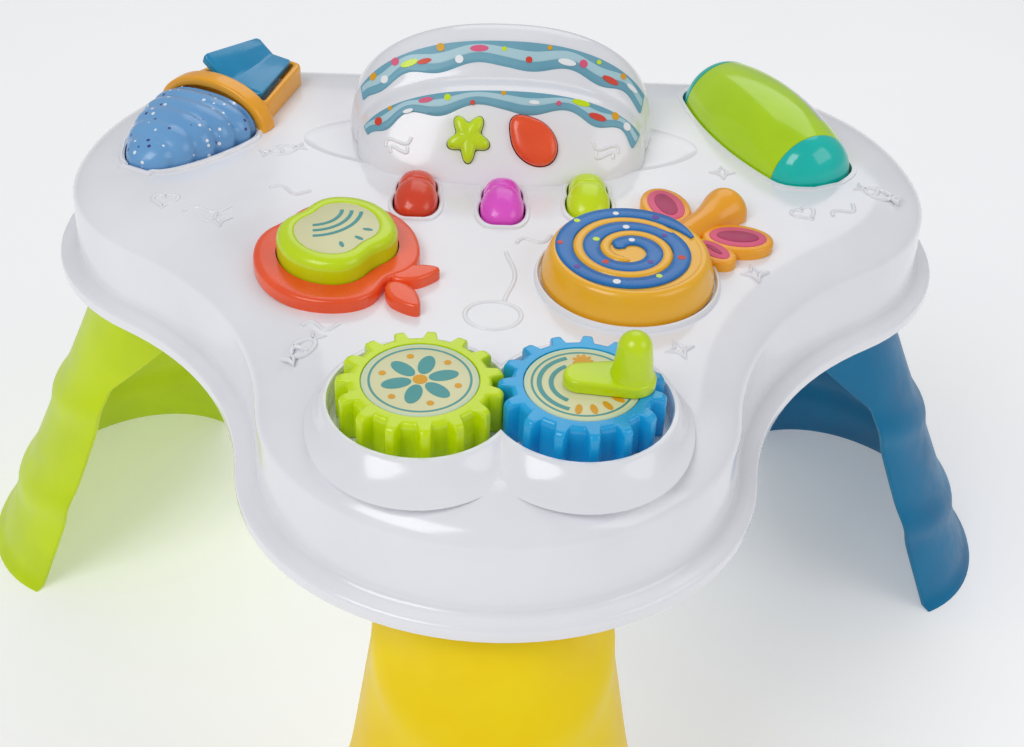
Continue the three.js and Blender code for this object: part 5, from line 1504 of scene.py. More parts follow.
@dataclass
class Gears:
    """The two meshing gears with their printed discs, and the crank."""

    teeth: int = 15
    tip: float = 29.9
    root: float = 25.5
    top: float = 15.0
    label: float = 20.8
    # How far a tooth's edge is drawn in, and how far below the gear's top
    tooth_edge: Profile = ((0.12, 1.7), (0.45, 0.9), (1.0, 0.35), (1.8, 0.05))
    petals: int = 6
    petal_at: float = 8.6
    seed_at: float = 13.8
    print_turn: float = 0.3
    crank_reach: float = 17.0
    crank_end: float = 8.6
    crank_heel: float = 6.2
    crank_edge: Profile = ((1.0, 0.0), (1.0, 3.2), (0.985, 3.8), (0.95, 4.2), (0.88, 4.4))
    knob: Profile = ((8.0, -1.0), (7.9, 0.0), (7.4, 1.2), (7.1, 3.0), (6.7, 7.0), (6.2, 11.4))

    def outline(self, shrink: float, soften: float = 0.0) -> list[Point]:
        """Draws the toothed plan.

        Args:
            shrink: how much smaller it is all round.
            soften: how much the teeth are drawn down.

        Returns:
            The plan's points.
        """
        pitch = 2 * math.pi / self.teeth

        def radius_at(angle: float) -> float:
            """Gives the radius on a tooth, its flank or the root."""
            off = abs((angle / pitch) % 1 - 0.5)
            share = min(max((0.27 - off) / 0.15, 0.0), 1.0)
            share = share * share * (3 - 2 * share)
            return self.root - shrink + (self.tip - self.root - soften) * share

        return polar(radius_at, self.teeth * 20)

    def make_gear(self, side: int, node: str, body: str, finish: str) -> None:
        """Makes one gear with its recessed disc.

        Args:
            side: -1 for the left gear and 1 for the right one.
            node: the frame node that it replaces.
            body: the frame body that it rides on.
            finish: its finish.
        """
        at = place(side * GEAR_X, PLAN.gear_y, PLAN.deck)
        top = self.top
        profile = [(0.0, -1.6), (0.0, top - 2.6)] + [(inset, top - drop) for inset, drop in self.tooth_edge]
        rings = [level(self.outline(shrink, shrink * 0.25), z, at) for shrink, z in profile]
        circle_count = self.teeth * 20
        seat = self.label
        bowl = [(seat + 0.6, top), (seat + 0.3, top - 0.15), (seat + 0.2, top - 1.25), (8.0, top - 1.3)]
        for radius, z in bowl:
            rings.append(level(arc(0, 0, radius, 0, 2 * math.pi, circle_count), z, at))
        gear = loft(f"{node}_form", rings)
        dress(gear, finish, body, [node], crease=42, weighted=True)

    def make_label(self, side: int, node: str, body: str) -> None:
        """Makes the cream disc and its printed rings.

        Args:
            side: -1 for the left gear and 1 for the right one.
            node: the frame node that the disc replaces.
            body: the frame body that they ride on.
        """
        at = place(side * GEAR_X, PLAN.gear_y, PLAN.deck + self.top)
        disc = turned(f"{node}_form", [(20.7, -1.2), (20.7, -0.45), (20.4, -0.3), (1.0, -0.3)], at, 96)
        dress(disc, "label", body, [node], crease=40)
        rim = turned(f"{node}_rim", ring_profile(19.4, 20.5, -0.4, -0.24), at, 96, loop=True)
        dress(rim, "ink_pale", body)
        ring = turned(f"{node}_ring", ring_profile(17.6, 18.4, -0.4, -0.2), at, 96, loop=True)
        dress(ring, "ink_teal", body)

    def make_left_motif(self) -> None:
        """Prints a ring of petals with seeds between them on the left gear."""
        at = place(-GEAR_X, PLAN.gear_y, PLAN.deck + self.top)
        turns = [2 * math.pi * i / self.petals + self.print_turn for i in range(self.petals)]
        petals = [print_blot("petal", oval(28, 5.4, 2.9), at @ around(turn, self.petal_at)) for turn in turns]
        dress(join_pieces(petals, "left_print_petals"), "ink_teal", "left_gear")
        seeds = [print_blot("middle", oval(28, 2.6, 2.6), at)]
        for turn in turns:
            spot = around(turn + math.pi / self.petals, self.seed_at)
            seeds.append(print_blot("seed", oval(16, 1.3, 1.3), at @ spot))
        dress(join_pieces(seeds, "left_print_seeds"), "ink_ochre", "left_gear")

    def make_right_motif(self) -> None:
        """Prints arcs, a small sun and a row of dashes on the right gear."""
        at = place(GEAR_X, PLAN.gear_y, PLAN.deck + self.top)
        arcs = []
        for radius, start, end in ((15.4, 110, 250), (11.2, 120, 240)):
            arcs.append(strip("arc", at, radius, math.radians(start), math.radians(end), 1.7))
        dress(join_pieces(arcs, "right_print_arcs"), "ink_teal", "right_gear")
        sun_at = at @ Matrix.Translation((0.5, 13.2, 0))
        sun = [print_blot("sun", polar(lambda a: 3.2 + 0.7 * math.cos(9 * a), 72), sun_at, OVERPRINT)]
        for i in range(5):
            spot = around(math.radians(-98 + 21 * i), 14.6)
            sun.append(print_blot("dash", oval(20, 2.6, 1.2), at @ spot, OVERPRINT))
        dress(join_pieces(sun, "right_print_sun"), "ink_ochre", "right_gear")

    def make_crank(self) -> None:
        """Makes the crank arm and its knob."""
        at = place(GEAR_X, PLAN.gear_y, PLAN.deck + self.top + 0.3)
        half = math.pi / 2
        reach, end, heel = self.crank_reach, self.crank_end, self.crank_heel
        outline = arc(reach, 0, end, -half, half, 24) + [(reach, end)]
        outline += arc(-1.0, 0, heel, half, 3 * half, 24) + [(-1.0, -heel)]
        rings = []
        for share, z in self.crank_edge:
            rings.append(level([(8 + (x - 8) * share, y * share) for x, y in outline], z, at))
        arm = loft("crank_arm_form", rings)
        knob_profile = list(self.knob)
        for i in range(1, 12):
            angle = math.pi / 2 * i / 12
            knob_profile.append((6.1 * math.cos(angle), 11.6 + 6.0 * math.sin(angle)))
        knob = turned("crank_knob", knob_profile, at @ Matrix.Translation((reach, 0, 4.3)), 48)
        crank = join_pieces([arm, knob], "crank_form")
        dress(crank, "lime", "right_gear", ["crank_arm"], crease=50)

    def build(self) -> None:
        """Makes both gears, their prints and the crank."""
        self.make_gear(-1, "gear_left", "left_gear", "lime")
        self.make_gear(1, "gear_right", "right_gear", "blue")
        self.make_label(-1, "gear_left_label", "left_gear")
        self.make_label(1, "gear_right_label", "right_gear")
        self.make_left_motif()
        self.make_right_motif()
        self.make_crank()


def ring_profile(inner: float, outer: float, low: float, high: float) -> list[Point]:
    """Returns the closed profile of a flat ring."""
    return [(inner, low), (outer, low), (outer, high), (inner, high)]


PRINT_FOOT = -0.4
PRINT = -0.15
OVERPRINT = -0.08


def print_blot(name: str, outline: Sequence[Point], at: Matrix, top: float = PRINT) -> Piece:
    """Raises one printed shape a hair above its label."""
    return slab(name, outline, PRINT_FOOT, top, at)


def strip(
    name: str, at: Matrix, radius: float, start: float, end: float, width: float
) -> Piece:
    """Makes a thin printed arc with square ends.

    Args:
        name: the piece's name.
        at: the local frame.
        radius: of its middle.
        start: first angle in radians.
        end: last angle in radians.
        width: of the strip.

    Returns:
        The strip.
    """
    steps = 40
    outer = [(radius + width / 2, start + (end - start) * i / steps) for i in range(steps + 1)]
    inner = [(radius - width / 2, a) for _, a in reversed(outer)]
    outline = [(r * math.cos(a), r * math.sin(a)) for r, a in outer + inner]
    return print_blot(name, outline, at)


@dataclass
class Lollipop:
    """The turning disc with its spiral, and the fixed stick with its bow."""

    top: float = 14.0
    disc: Profile = (
        (30.0, 0.4), (34.6, 0.4), (35.0, 1.2), (34.8, 4.0), (34.0, 7.5), (32.9, 10.6), (32.3, 12.2),
        (31.6, 13.3), (30.6, 13.9), (29.4, 14.0), (28.6, 13.8), (28.0, 13.4), (2.0, 13.4),
    )
    turns: float = 2.4
    first_angle: float = 2.9
    eye: float = 4.8
    growth: float = 23.4
    track_half: float = 3.5
    ridge_half: float = 2.1
    ridge_offset: float = 5.8
    spiral_steps: int = 220
    stick_angle: float = 49.0
    stick_start: float = 36.2
    stick_length: float = 40.0
    # Shares of the stick's length, and its radius there
    stick: Profile = (
        (0, 6.6), (0.2, 6.9), (0.45, 7.2), (0.62, 8.4), (0.76, 10.0),
        (0.86, 10.4), (0.94, 8.9), (0.985, 5.6), (1.0, 2.2),
    )
    loop_half_long: float = 15.0
    loop_half_wide: float = 10.5

    def make_disc(self) -> None:
        """Makes the orange disc."""
        disc = turned("lollipop_disc_form", self.disc, place(*DISC_PLACE, PLAN.deck), 128)
        dress(disc, "amber", "lollipop", ["lollipop_disc"], crease=45, weighted=True)

    def spiral_point(self, share: float, side: float) -> Point:
        """Finds a point beside the spiral's middle line.

        Args:
            share: place along the spiral.
            side: distance from its middle line.

        Returns:
            The point about the disc's centre.
        """
        angle = self.first_angle - 2 * math.pi * self.turns * share
        radius = self.eye + self.growth * min(1.12 * share, 1.0) + side
        return radius * math.cos(angle), radius * math.sin(angle)

    def make_spiral(self) -> None:
        """Makes the raised blue track and the orange ridge between its turns."""
        at = place(*DISC_PLACE, PLAN.deck + self.top)
        steps = self.spiral_steps
        rings = []
        for i in range(steps + 1):
            share = i / steps
            taper = min(1.0, 0.25 + i / 10, 0.25 + (steps - i) / 10)
            half = self.track_half * taper
            brow = half - 0.35
            section = [(-half, -0.7), (half, -0.7), (half, 0.05), (brow, 0.3)]
            section += [(0.0, 0.42), (-brow, 0.3), (-half, 0.05)]
            rings.append([at @ Vector((*self.spiral_point(share, side), z)) for side, z in section])
        track = loft("lollipop_spiral_form", rings)
        dress(track, "ink_blue", "lollipop", ["lollipop_spiral"], crease=40)
        rings = []
        for i in range(steps + 1):
            share = 0.3 + 0.7 * i / steps
            taper = min(1.0, 0.2 + i / 12, 0.2 + (steps - i) / 12)
            section = [(self.ridge_half * taper * math.cos(a), taper * math.sin(a) - 0.3) for a in angles(12)]
            spots = [(*self.spiral_point(share, side - self.ridge_offset), z) for side, z in section]
            rings.append([at @ Vector(spot) for spot in spots])
        ridge = loft("lollipop_ridge", rings)
        dress(ridge, "amber", "lollipop", crease=50)

    def make_sprinkles(self) -> None:
        """Scatters printed dots along the blue track."""
        at = place(*DISC_PLACE, PLAN.deck + self.top)
        draw = random.Random(7)
        inks = ["ink_white", "ink_purple", "ink_red", "lime"]
        groups: dict[str, list[Piece]] = {ink: [] for ink in inks}
        share, count = 0.1, 0
        while share < 0.97:
            x, y = self.spiral_point(share, draw.uniform(-1.6, 1.6))
            radius = draw.uniform(1.2, 1.6)
            spot = at @ Matrix.Translation((x, y, 0.0))
            groups[inks[count % len(inks)]].append(slab("dot", polar(lambda a: radius, 16), 0.1, 0.5, spot))
            share += 0.045 / (0.2 + share)
            count += 1
        dress_by_ink(groups, "lollipop_dots", "lollipop")

    def make_stick(self) -> None:
        """Makes the stick with its round end, lying on the deck."""
        at = place(*DISC_PLACE, PLAN.deck + 1.4, self.stick_angle)
        rings = []
        for share, radius in blend_table(self.stick, 5):
            along = self.stick_start + share * self.stick_length
            section = [(max(radius * math.cos(a), -1.3), radius * 0.98 * math.sin(a)) for a in angles(48)]
            rings.append([at @ Vector((along, y, x)) for x, y in section])
        stick = loft("lollipop_stick_form", rings)
        smooth(stick, 60)
        wings = [self.wing(side, large, 0.0, 0.0, 4.6) for side in (-1, 1) for large in (True, False)]
        piece = join_pieces([stick] + wings, "lollipop_stick_and_bow")
        dress(piece, "orange", "table", ["lollipop_stick"])
        for name, grow, low, high in (("pink", -3.0, 4.3, 4.95), ("rose", -6.2, 4.6, 5.2)):
            inlays = []
            for side in (-1, 1):
                inlay = self.wing(side, True, grow, low, high)
                combine(inlay, self.wing(side, False, grow, low, high), "UNION")
                inlays.append(inlay)
            dress(join_pieces(inlays, f"bow_inlay_{name}"), f"ink_{name}", "table")

    def wing(self, side: int, large: bool, grow: float, low: float, high: float) -> Piece:
        """Makes one loop of the bow.

        Args:
            side: -1 to the right of the stick and 1 to its left.
            large: whether it is one of the larger loops.
            grow: how much larger its plan is.
            low: its lower face above the deck.
            high: its upper face.

        Returns:
            The loop.
        """
        cx, turn, share = (51.5, 55, 1.0) if large else (36.5, 100, 0.72)
        half_long, half_wide = self.loop_half_long * share, self.loop_half_wide * share
        cy = side * (6.3 + half_long * math.sin(math.radians(turn)))
        local = Matrix.Translation((cx, cy, 0)) @ Matrix.Rotation(math.radians(side * turn), 4, "Z")
        at = place(*DISC_PLACE, PLAN.deck, self.stick_angle) @ local
        high -= 0.0 if large else 0.06
        edge = min(1.2, (high - low) * 0.4)
        profile = [(0.0, low), (0.0, high - edge), (-0.3 * edge, high - 0.3 * edge), (-edge, high)]
        long_grown, wide_grown = half_long + grow, half_wide + grow
        loop = stack("bow_loop", lambda more: oval(56, long_grown + more, wide_grown + more), profile, at)
        smooth(loop, 45)
        return loop

    def build(self) -> None:
        """Makes the lollipop."""
        self.make_disc()
        self.make_spiral()
        self.make_sprinkles()
        self.make_stick()


@dataclass
class Apple:
    """The red apple with its leaves and the lime core button."""

    x: float = -66.5
    y: float = -30.4
    stem: float = -40.0
    half_wide: float = 33.6
    half_deep: float = 37.5
    leaf_half_long: float = 10.4
    leaf_half_wide: float = 5.6
    # Each leaf's distance from the apple's middle, direction and turn
    leaves: tuple[Spot, ...] = ((34.8, -23, 19), (41.0, -46, -54))
    base_edge: Profile = (
        (0.0, -0.2), (0.0, 3.9), (0.25, 4.8), (0.8, 5.4), (1.7, 5.7), (3.0, 5.7),
    )
    leaf_edge: Profile = ((0.0, -0.2), (0.0, 3.8), (0.4, 4.6), (1.2, 5.1), (2.2, 5.2))
    core_edge: Profile = (
        (0.0, -5.2), (0.0, 11.0), (-0.25, 12.4), (-0.8, 13.7), (-1.7, 14.7), (-3.0, 15.3),
        (-4.6, 15.55), (-6.4, 15.55), (-7.0, 15.2), (-7.2, 14.9), (-9.0, 14.9),
    )
    label_edge: Profile = ((-7.4, 14.8), (-7.4, 15.2), (-7.6, 15.3))
    print_height: float = 15.6
    arc_radii: tuple[float, ...] = (12.0, 16.0, 20.0)
    dashes: tuple[Spot, ...] = ((9.5, -7.5, -35), (3.0, -12.5, -70), (12.5, -1.0, -12))

    def outline(self, shrink: float) -> list[Point]:
        """Draws the apple's plan with a dip at the stem and a shallower one opposite.

        Args:
            shrink: how much smaller it is all round.

        Returns:
            The plan's points.
        """
        return polar(
            lambda a: 1 - 0.17 * dip_at(a, self.stem, 17) - 0.1 * dip_at(a, self.stem + 180, 17),
            160, self.half_wide - shrink, self.half_deep - shrink,
        )

    def leaf_outline(self, shrink: float) -> list[Point]:
        """Draws a leaf that narrows to a soft tip.

        Args:
            shrink: how much smaller it is all round.

        Returns:
            The plan's points.
        """
        half_long, half_wide = self.leaf_half_long - shrink, self.leaf_half_wide - shrink
        points = []
        for a in angles(48):
            narrowing = 1 - 0.35 * max(math.cos(a), 0.0)
            points.append((half_long * math.cos(a), half_wide * math.sin(a) * narrowing))
        return points

    def make_base(self) -> None:
        """Makes the apple's body with its opening and its two leaves."""
        at = place(self.x, self.y, PLAN.deck)
        base = stack("apple_form", self.outline, self.base_edge, at)
        hole = slab("apple_hole", apple_button_outline(0.5), -3.0, 9.0, place(*CORE_PLACE, PLAN.deck))
        combine(base, hole)
        for reach, azimuth, turn in self.leaves:
            toward = math.radians(azimuth)
            spot = at @ Matrix.Translation((reach * math.cos(toward), reach * math.sin(toward), 0))
            spot = spot @ Matrix.Rotation(math.radians(turn), 4, "Z")
            combine(base, stack("leaf", self.leaf_outline, self.leaf_edge, spot), "UNION")
        dress(base, "red", "table", ["apple_base"], crease=45)

    def make_button(self) -> None:
        """Makes the core button with its printed label."""
        at = place(*CORE_PLACE, PLAN.deck)
        button = stack("apple_button_form", apple_button_outline, self.core_edge, at)
        dress(button, "lime", "apple", ["apple_button"], crease=50, weighted=True)
        label = stack("apple_label_form", apple_button_outline, self.label_edge, at)
        dress(label, "label", "apple", ["apple_label"], crease=40)
        top = at @ Matrix.Translation((0, 0, self.print_height))
        arcs = []
        for i, radius in enumerate(self.arc_radii):
            spot = top @ Matrix.Translation((-11.0, 13.0, 0.0))
            arcs.append(strip("arc", spot, radius, math.radians(-84), math.radians(2 - 2 * i), 1.5))
        for dx, dy, turn in self.dashes:
            spot = top @ Matrix.Translation((dx, dy, 0)) @ Matrix.Rotation(math.radians(turn), 4, "Z")
            arcs.append(print_blot("dash", oval(20, 2.1, 0.85), spot))
        dress(join_pieces(arcs, "apple_print"), "ink_teal", "apple")

    def build(self) -> None:
        """Makes the apple."""
        self.make_base()
        self.make_button()


@dataclass
class Drum:
    """The roller drum: lime barrel, smoked strip and domed ends."""

    wall: float = 2.2
    strip_half: float = 26.0
    strip_angle: float = 128.0
    strip_at: float = 27.0

    def build(self) -> None:
        """Makes the drum."""
        at = BARREL.frame()
        outer = BARREL.profile(-BARREL.joint_at, BARREL.joint_at, 40)
        inner = [(r - self.wall, s) for r, s in reversed(outer)]
        barrel = turned("drum_barrel_form", outer + inner, at, 128, loop=True)
        strip_profile = [(r - 0.15, s) for r, s in outer] + [(r + 0.1, s) for r, s in inner]
        window = turned("drum_window_form", strip_profile, at, 128, loop=True)
        combine(barrel, self.wedge(at, 0.0))
        combine(window, self.wedge(at, 0.25), "INTERSECT")
        round_edges(barrel, 0.35, 2, 60)
        smooth(barrel, 40, weighted=True)
        smooth(window, 40)
        dress(barrel, "barrel", "drum", ["drum_shell"])
        dress(window, "clear", "drum", ["drum_window"])
        for side, node in ((1, "drum_cap_near"), (-1, "drum_cap_far")):
            dome = [(r, side * s) for r, s in BARREL.profile(BARREL.joint_at + 0.3, BARREL.tip_at - 0.2, 22)]
            joint, tip = BARREL.joint_at, BARREL.tip_at
            radius = BARREL.joint_radius
            seat = [(radius - 2.8, side * (joint - 4)), (radius - 2.6, side * joint)]
            pin = [(2.2, side * (tip - 0.1)), (2.2, side * (tip + 3))]
            cap = turned(f"{node}_form", seat + dome + pin, at, 96)
            dress(cap, "teal", "drum", [node], crease=40)

    def wedge(self, at: Matrix, inset: float) -> Piece:
        """Makes the wedge of space that the smoked strip takes.

        Args:
            at: the drum's local frame.
            inset: how much smaller it is all round.

        Returns:
            The wedge.
        """
        reach = 2 * BARREL.radius
        half = math.radians(self.strip_half) - inset / BARREL.radius
        middle = math.radians(self.strip_angle)
        points = [(0.0, 0.0)]
        for angle in (middle - half, middle, middle + half):
            points.append((reach * math.cos(angle), reach * math.sin(angle)))
        return slab("wedge", points, -self.strip_at + inset, self.strip_at - inset, at)


@dataclass
class Cone:
    """The ice-cream cone: ring, frame, ribbed scoop and see-saw."""

    ring_half: float = 29.8
    ring_height: float = 19.8
    ring_wall: float = 4.6
    ring_thickness: float = 9.0
    near: float = 25.0
    far: float = 16.0
    end: float = 49.0
    wall: float = 3.2
    height: float = 10.0
    rib_depth: float = 0.1
    rocker_tilt: float = 22.0
    rocker_rise: float = 18.0
    rocker_near: float = 8.4
    rocker_far: float = 45.1
    rocker_near_half: float = 17.1
    rocker_far_half: float = 10.0
    rocker_back: float = 6.0
    rocker_depth: float = 5.0
    # Shares of the rocker's length, and how far its edges are drawn in there
    rocker_ends: Profile = (
        (0.0, 1.2), (0.02, 0.4), (0.06, 0.0), (0.5, 0.0), (0.94, 0.0), (0.98, 0.4), (1.0, 1.2),
    )

    def make_frame(self) -> None:
        """Makes the arched ring and the tapering frame behind it."""
        at = SCOOP.frame()
        rings = []
        steps = 48
        wall, thick = self.ring_wall / 2, self.ring_thickness / 2
        section = []
        for a in angles(24):
            section.append((wall * squared(math.cos(a), 0.45), thick * squared(math.sin(a), 0.45)))
        for i in range(steps + 1):
            angle = math.pi * i / steps
            ring = []
            for x, y in section:
                half, tall = self.ring_half - wall + x, self.ring_height - wall + x
                ring.append(at @ Vector((half * math.cos(angle), y, tall * math.sin(angle) + 0.1)))
            rings.append(ring)
        ring = loft("cone_ring", rings)
        top = self.height
        profile = [
            (0.0, 0.1), (0.0, top - 1.4), (0.35, top - 0.5), (1.2, top), (self.wall - 1.0, top),
            (self.wall - 0.2, top - 0.5), (self.wall, top - 1.4), (self.wall, 0.1),
        ]
        surround = stack("cone_surround", self.outline, profile, at, loop=True)
        cone = join_pieces([ring, surround], "cone_form")
        dress(cone, "orange", "table", ["cone_frame"], crease=45)

    def outline(self, inset: float) -> list[Point]:
        """Draws the frame's plan with round corners.

        Args:
            inset: how far it is drawn in.

        Returns:
            The plan's points.
        """
        near, far = self.ring_thickness / 2 + inset, self.end - inset
        radius = max(4.5 - inset, 0.8)
        wide, narrow = self.near - inset, self.far - inset
        corners = [(-narrow, far), (-wide, near), (wide, near), (narrow, far)]
        outline = []
        for i, (cx, cy) in enumerate(corners):
            px, py = corners[i - 1]
            nx, ny = corners[(i + 1) % 4]
            before = Vector((px - cx, py - cy)).normalized() * radius
            after = Vector((nx - cx, ny - cy)).normalized() * radius
            for t in shares(6):
                first = Vector((cx, cy)) + before * (1 - t)
                last = Vector((cx, cy)) + after * t
                outline.append(tuple(first.lerp(last, t)))
        return outline

    def make_scoop(self) -> None:
        """Makes the ribbed scoop."""
        at = SCOOP.frame() @ ALONG_Y
        steps = 96
        rings = []
        for along, width, height in SCOOP.stations():
            half, tall = SCOOP.half_width * width, SCOOP.height * height
            dome = []
            for i in range(steps + 1):
                angle = math.pi * i / steps
                wave = abs(math.sin(math.pi * SCOOP.ribs * (along - 0.06 * (1 - math.sin(angle)))))
                rib = 1 - (self.rib_depth if along > 0.02 else 0.0) * (1 - wave**0.7)
                dome.append((half * squared(math.cos(angle), 0.8) * rib, tall * math.sin(angle) ** 0.8 * rib))
            outline = dome + [(-half * 0.93, -6.0), (half * 0.93, -6.0)]
            rings.append(level(outline, SCOOP.start + along * SCOOP.length, at))
        scoop = loft("scoop_form", rings)
        dress(scoop, "sky_blue", "scoop", ["scoop_button"], crease=60)

    def make_rocker(self) -> None:
        """Makes the see-saw with its two wings."""
        tilt = Matrix.Rotation(math.radians(self.rocker_tilt), 4, "Y")
        at = SCOOP.frame(8.0) @ tilt @ ALONG_Y
        rise = math.tan(math.radians(self.rocker_rise))
        rings = []
        for share, drop in self.rocker_ends:
            along = self.rocker_near + (self.rocker_far - self.rocker_near) * share
            half = self.rocker_near_half + (self.rocker_far_half - self.rocker_near_half) * share - drop
            section = []
            for u in (-1.0, -0.97, -0.9, -0.5, -0.12, 0.0, 0.12, 0.5, 0.9, 0.97, 1.0):
                lip = 1.3 if abs(u) == 1 else 0.35 if abs(u) == 0.97 else 0.0
                section.append((-half * u, self.rocker_back + abs(u) * half * rise - lip - drop))
            for u in (1.0, 0.5, 0.12, 0.0, -0.12, -0.5, -1.0):
                thick = self.rocker_depth + (2.2 if abs(u) < 0.2 else 0.0)
                section.append((-half * u, self.rocker_back + abs(u) * half * rise - thick + drop * 0.5))
            rings.append(level(section, -along, at))
        rocker = loft("rocker_form", rings)
        dress(rocker, "rocker", "seesaw", ["rocker"], crease=35)

    def build(self) -> None:
        """Makes the cone."""
        self.make_frame()
        self.make_scoop()
        self.make_rocker()


@dataclass(frozen=True)
class LegSpot:
    """One leg's place and finish."""

    node: str
    distance: float
    azimuth: float
    finish: str


@dataclass
class Legs:
    """The three channel legs with their waves and flared feet."""

    top_radius: float = 36.5
    spread: float = 0.157
    widen: float = 0.2
    splay: float = 0.32
    wall: float = 3.0
    height: float = 215.0
    web_reach: float = 44.0
    web_depth: float = 84.0
    ridge: float = 2.6
    ridge_width: float = 9.0
    ridge_droop: float = 16.0
    ridges: tuple[float, ...] = (30, 96, 158)
    lip: float = 2.6
    head: float = 0.3
    plate: float = 3.0
    rings: int = 72
    spots: tuple[LegSpot, ...] = (
        LegSpot("leg_front", 145.0, -90.0, "leg_yellow"),
        LegSpot("leg_right", 162.0, 28.0, "leg_blue"),
        LegSpot("leg_left", 162.0, 152.0, "leg_green"),
    )

    def section(self, depth: float, steps: int = 40) -> list[Point]:
        """Draws the leg's C section at a depth below the rim.

        Args:
            depth: below the rim's lower edge.
            steps: points round the C.

        Returns:
            The outer face and then the inner one.
        """
        centre = self.splay * depth
        base = self.top_radius + self.spread * depth
        wide = 1 + self.widen * depth / self.height
        lip = self.lip * max(0.0, 1 - (self.height - depth) / 7.0) ** 1.5
        web = max(1.2, self.web_reach * (1 - min(depth / self.web_depth, 1.0) ** 1.4))

        def side(extra: float, wall: float) -> list[Point]:
            """Draws the C with its ridges, farther out by the extra and farther in by the wall."""
            points = []
            for i in range(steps + 1):
                angle = -math.pi / 2 + math.pi * i / steps
                down = depth - self.ridge_droop * math.cos(angle)
                waves = [math.exp(-(((down - at) / self.ridge_width) ** 2)) for at in self.ridges]
                radius = base + self.ridge * sum(waves) + extra - wall
                points.append((centre + radius * math.cos(angle), wide * radius * math.sin(angle)))
            return points

        outer, inner = side(lip, 0.0), list(reversed(side(0.0, self.wall)))
        ends = [(outer[0][0] - web, outer[0][1])] + outer + [(outer[-1][0] - web, outer[-1][1])]
        return ends + [(inner[0][0] - web, inner[0][1])] + inner + [(inner[-1][0] - web, inner[-1][1])]

    def build(self) -> None:
        """Makes the three legs."""
        for spot in self.spots:
            turn = math.radians(spot.azimuth)
            at = place(spot.distance * math.cos(turn), spot.distance * math.sin(turn), 0, spot.azimuth)
            depths = [self.head + (self.height - self.head) * share for share in shares(self.rings)]
            leg = loft(f"{spot.node}_form", [level(self.section(d), -d, at) for d in depths])
            round_edges(leg, 0.8, 2, 60)
            # The outer face and its two ends alone close the leg's head with a plate
            plate_outline = self.section(self.head)[:43]
            plate = slab("plate", plate_outline, -self.head - self.plate, -self.head, at)
            piece = join_pieces([leg, plate], f"{spot.node}_form")
            dress(piece, spot.finish, "table", [spot.node], crease=40)


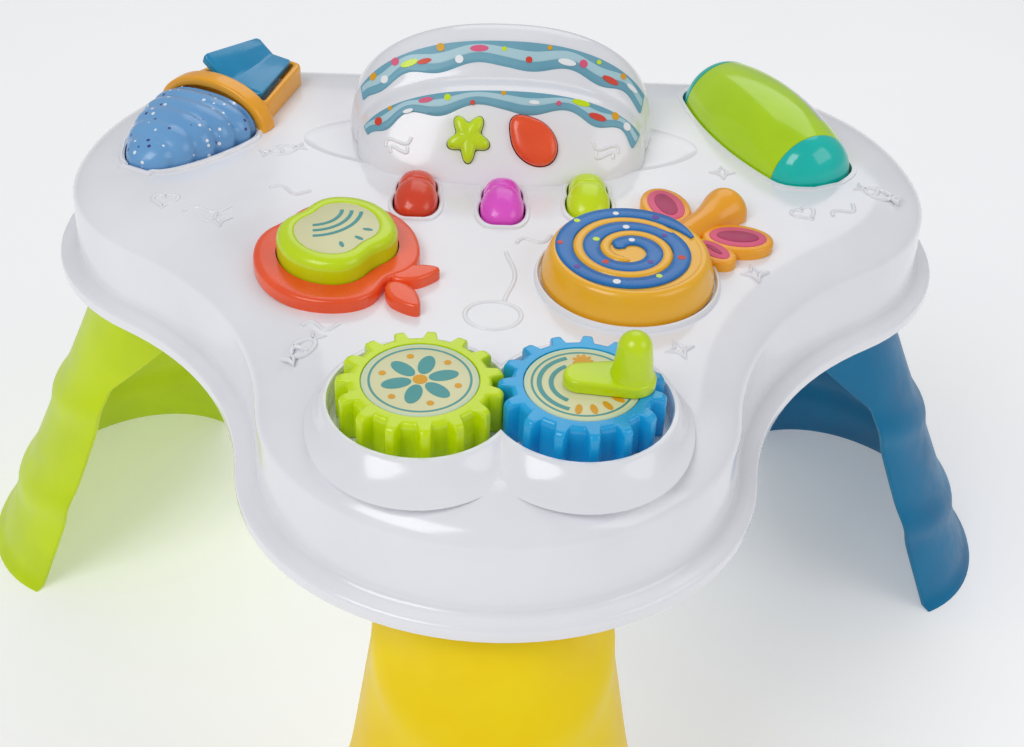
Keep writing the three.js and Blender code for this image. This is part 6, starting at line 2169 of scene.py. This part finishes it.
@dataclass
class Stage:
    """The pale floor, the soft studio lights, the world and the camera."""

    floor_half: float = 6.0
    floor_glow: float = 0.24
    world_fill: float = 0.4
    aim: Spot = (0, 0, 0.2)
    # Each lamp's name, place and side in metres, and power in watts
    lamps: tuple[tuple[str, Spot, float, float], ...] = (
        ("key_lamp", (-0.9, -0.9, 1.7), 1.0, 12.6),
        ("fill_lamp", (1.3, -0.6, 1.2), 1.0, 4.6),
        ("rear_lamp", (0.2, 1.3, 1.5), 1.2, 5.0),
    )
    # Camera: place in table millimetres, angles in degrees, focal length in picture widths
    eye: Spot = (-9.4, -540.1, 381.7)
    pitch: float = 37.5
    yaw: float = 1.79
    roll: float = 2.59
    focal: float = 1493.3 / 1024
    sensor_mm: float = 36.0

    def make_floor(self) -> None:
        """Lays the floor under the feet."""
        deselect()
        bpy.ops.mesh.primitive_plane_add(size=2 * self.floor_half, location=(0, 0, 0))
        floor = bpy.context.object
        floor.name = "floor"
        material, shader, spot = blank_material("pale_floor")
        tree = material.node_tree
        shader.inputs["Roughness"].default_value = 0.9
        cloud = add_node(tree, "ShaderNodeTexNoise", {"Scale": 3.0}, {"Vector": spot})
        paper = add_node(tree, "ShaderNodeValToRGB", {}, {"Fac": cloud.outputs["Fac"]})
        tint = ramp(paper, [(0.4, "F2F2F4"), (0.6, "F4F4F5")])
        tree.links.new(tint.outputs["Color"], shader.inputs["Base Color"])
        # The paper sweep glows faintly from the lamps that studios put behind it
        shader.inputs["Emission Color"].default_value = (1.0, 1.0, 1.0, 1.0)
        shader.inputs["Emission Strength"].default_value = self.floor_glow
        floor.data.materials.append(material)

    def make_light(self, name: str, spot: Sequence[float], size: float, power: float) -> None:
        """Adds one soft square lamp.

        Args:
            name: the lamp's name.
            spot: where it hangs.
            size: its side.
            power: in watts.
        """
        data = bpy.data.lights.new(name, "AREA")
        data.size = size
        data.energy = power
        lamp = bpy.data.objects.new(name, data)
        lamp.location = spot
        lamp.rotation_euler = (Vector(self.aim) - Vector(spot)).to_track_quat("-Z", "Y").to_euler()
        bpy.context.scene.collection.objects.link(lamp)

    def make_world(self) -> None:
        """Sets the world: white to the camera and a soft fill to the object."""
        world = bpy.data.worlds.new("studio")
        bpy.context.scene.world = world
        world.use_nodes = True
        tree = world.node_tree
        tree.nodes.clear()
        cool = {"Color": (0.95, 0.97, 1.0, 1.0), "Strength": self.world_fill}
        fill = add_node(tree, "ShaderNodeBackground", cool, {})
        white = {"Color": (1.0, 1.0, 1.0, 1.0), "Strength": 1.0}
        plain = add_node(tree, "ShaderNodeBackground", white, {})
        ray = add_node(tree, "ShaderNodeLightPath", {}, {})
        mix = add_node(
            tree,
            "ShaderNodeMixShader",
            {},
            {0: ray.outputs["Is Camera Ray"], 1: fill.outputs["Background"], 2: plain.outputs["Background"]},
        )
        add_node(tree, "ShaderNodeOutputWorld", {}, {"Surface": mix.outputs[0]})

    def make_camera(self) -> None:
        """Sets the camera at the photograph's place and angle."""
        pitch, yaw, roll = [math.radians(angle) for angle in (self.pitch, self.yaw, self.roll)]
        forward = Vector((math.sin(yaw) * math.cos(pitch), math.cos(yaw) * math.cos(pitch), -math.sin(pitch)))
        right = Vector((math.cos(yaw), -math.sin(yaw), 0))
        up = right.cross(forward)
        turned_right = math.cos(roll) * right + math.sin(roll) * up
        turned_up = -math.sin(roll) * right + math.cos(roll) * up
        data = bpy.data.cameras.new("camera")
        data.sensor_width = self.sensor_mm
        data.lens = self.focal * self.sensor_mm
        camera = bpy.data.objects.new("camera", data)
        spot = BASE @ Vector(self.eye)
        axes = Matrix((turned_right, turned_up, -forward)).transposed()
        camera.matrix_world = Matrix.Translation(spot) @ axes.to_4x4()
        bpy.context.scene.collection.objects.link(camera)
        bpy.context.scene.camera = camera

    def build(self) -> None:
        """Makes the stage."""
        self.make_floor()
        for name, spot, size, power in self.lamps:
            self.make_light(name, spot, size, power)
        self.make_world()
        self.make_camera()
        bpy.context.scene.view_settings.view_transform = "Standard"


def dress_frame_nodes() -> None:
    """Gives every frame node the procedural finish of its slot."""
    slots = {row["node"]: row["material_slot"] for row in frame["record"]["subparts"]}
    for name, node in frame["nodes"].items():
        node.data.materials.clear()
        node.data.materials.append(PAINT.get(slots[name]))


def main() -> None:
    """Builds the dressed table and its stage."""
    dress_frame_nodes()
    Stage().build()
    for assembly in (Shell(), Relief(), Hood(), Keys(), Gears(), Lollipop(), Apple(), Drum(), Cone(), Legs()):
        LOG.info("building %s", type(assembly).__name__)
        assembly.build()
    deselect()


if __name__ == "__main__":
    main()
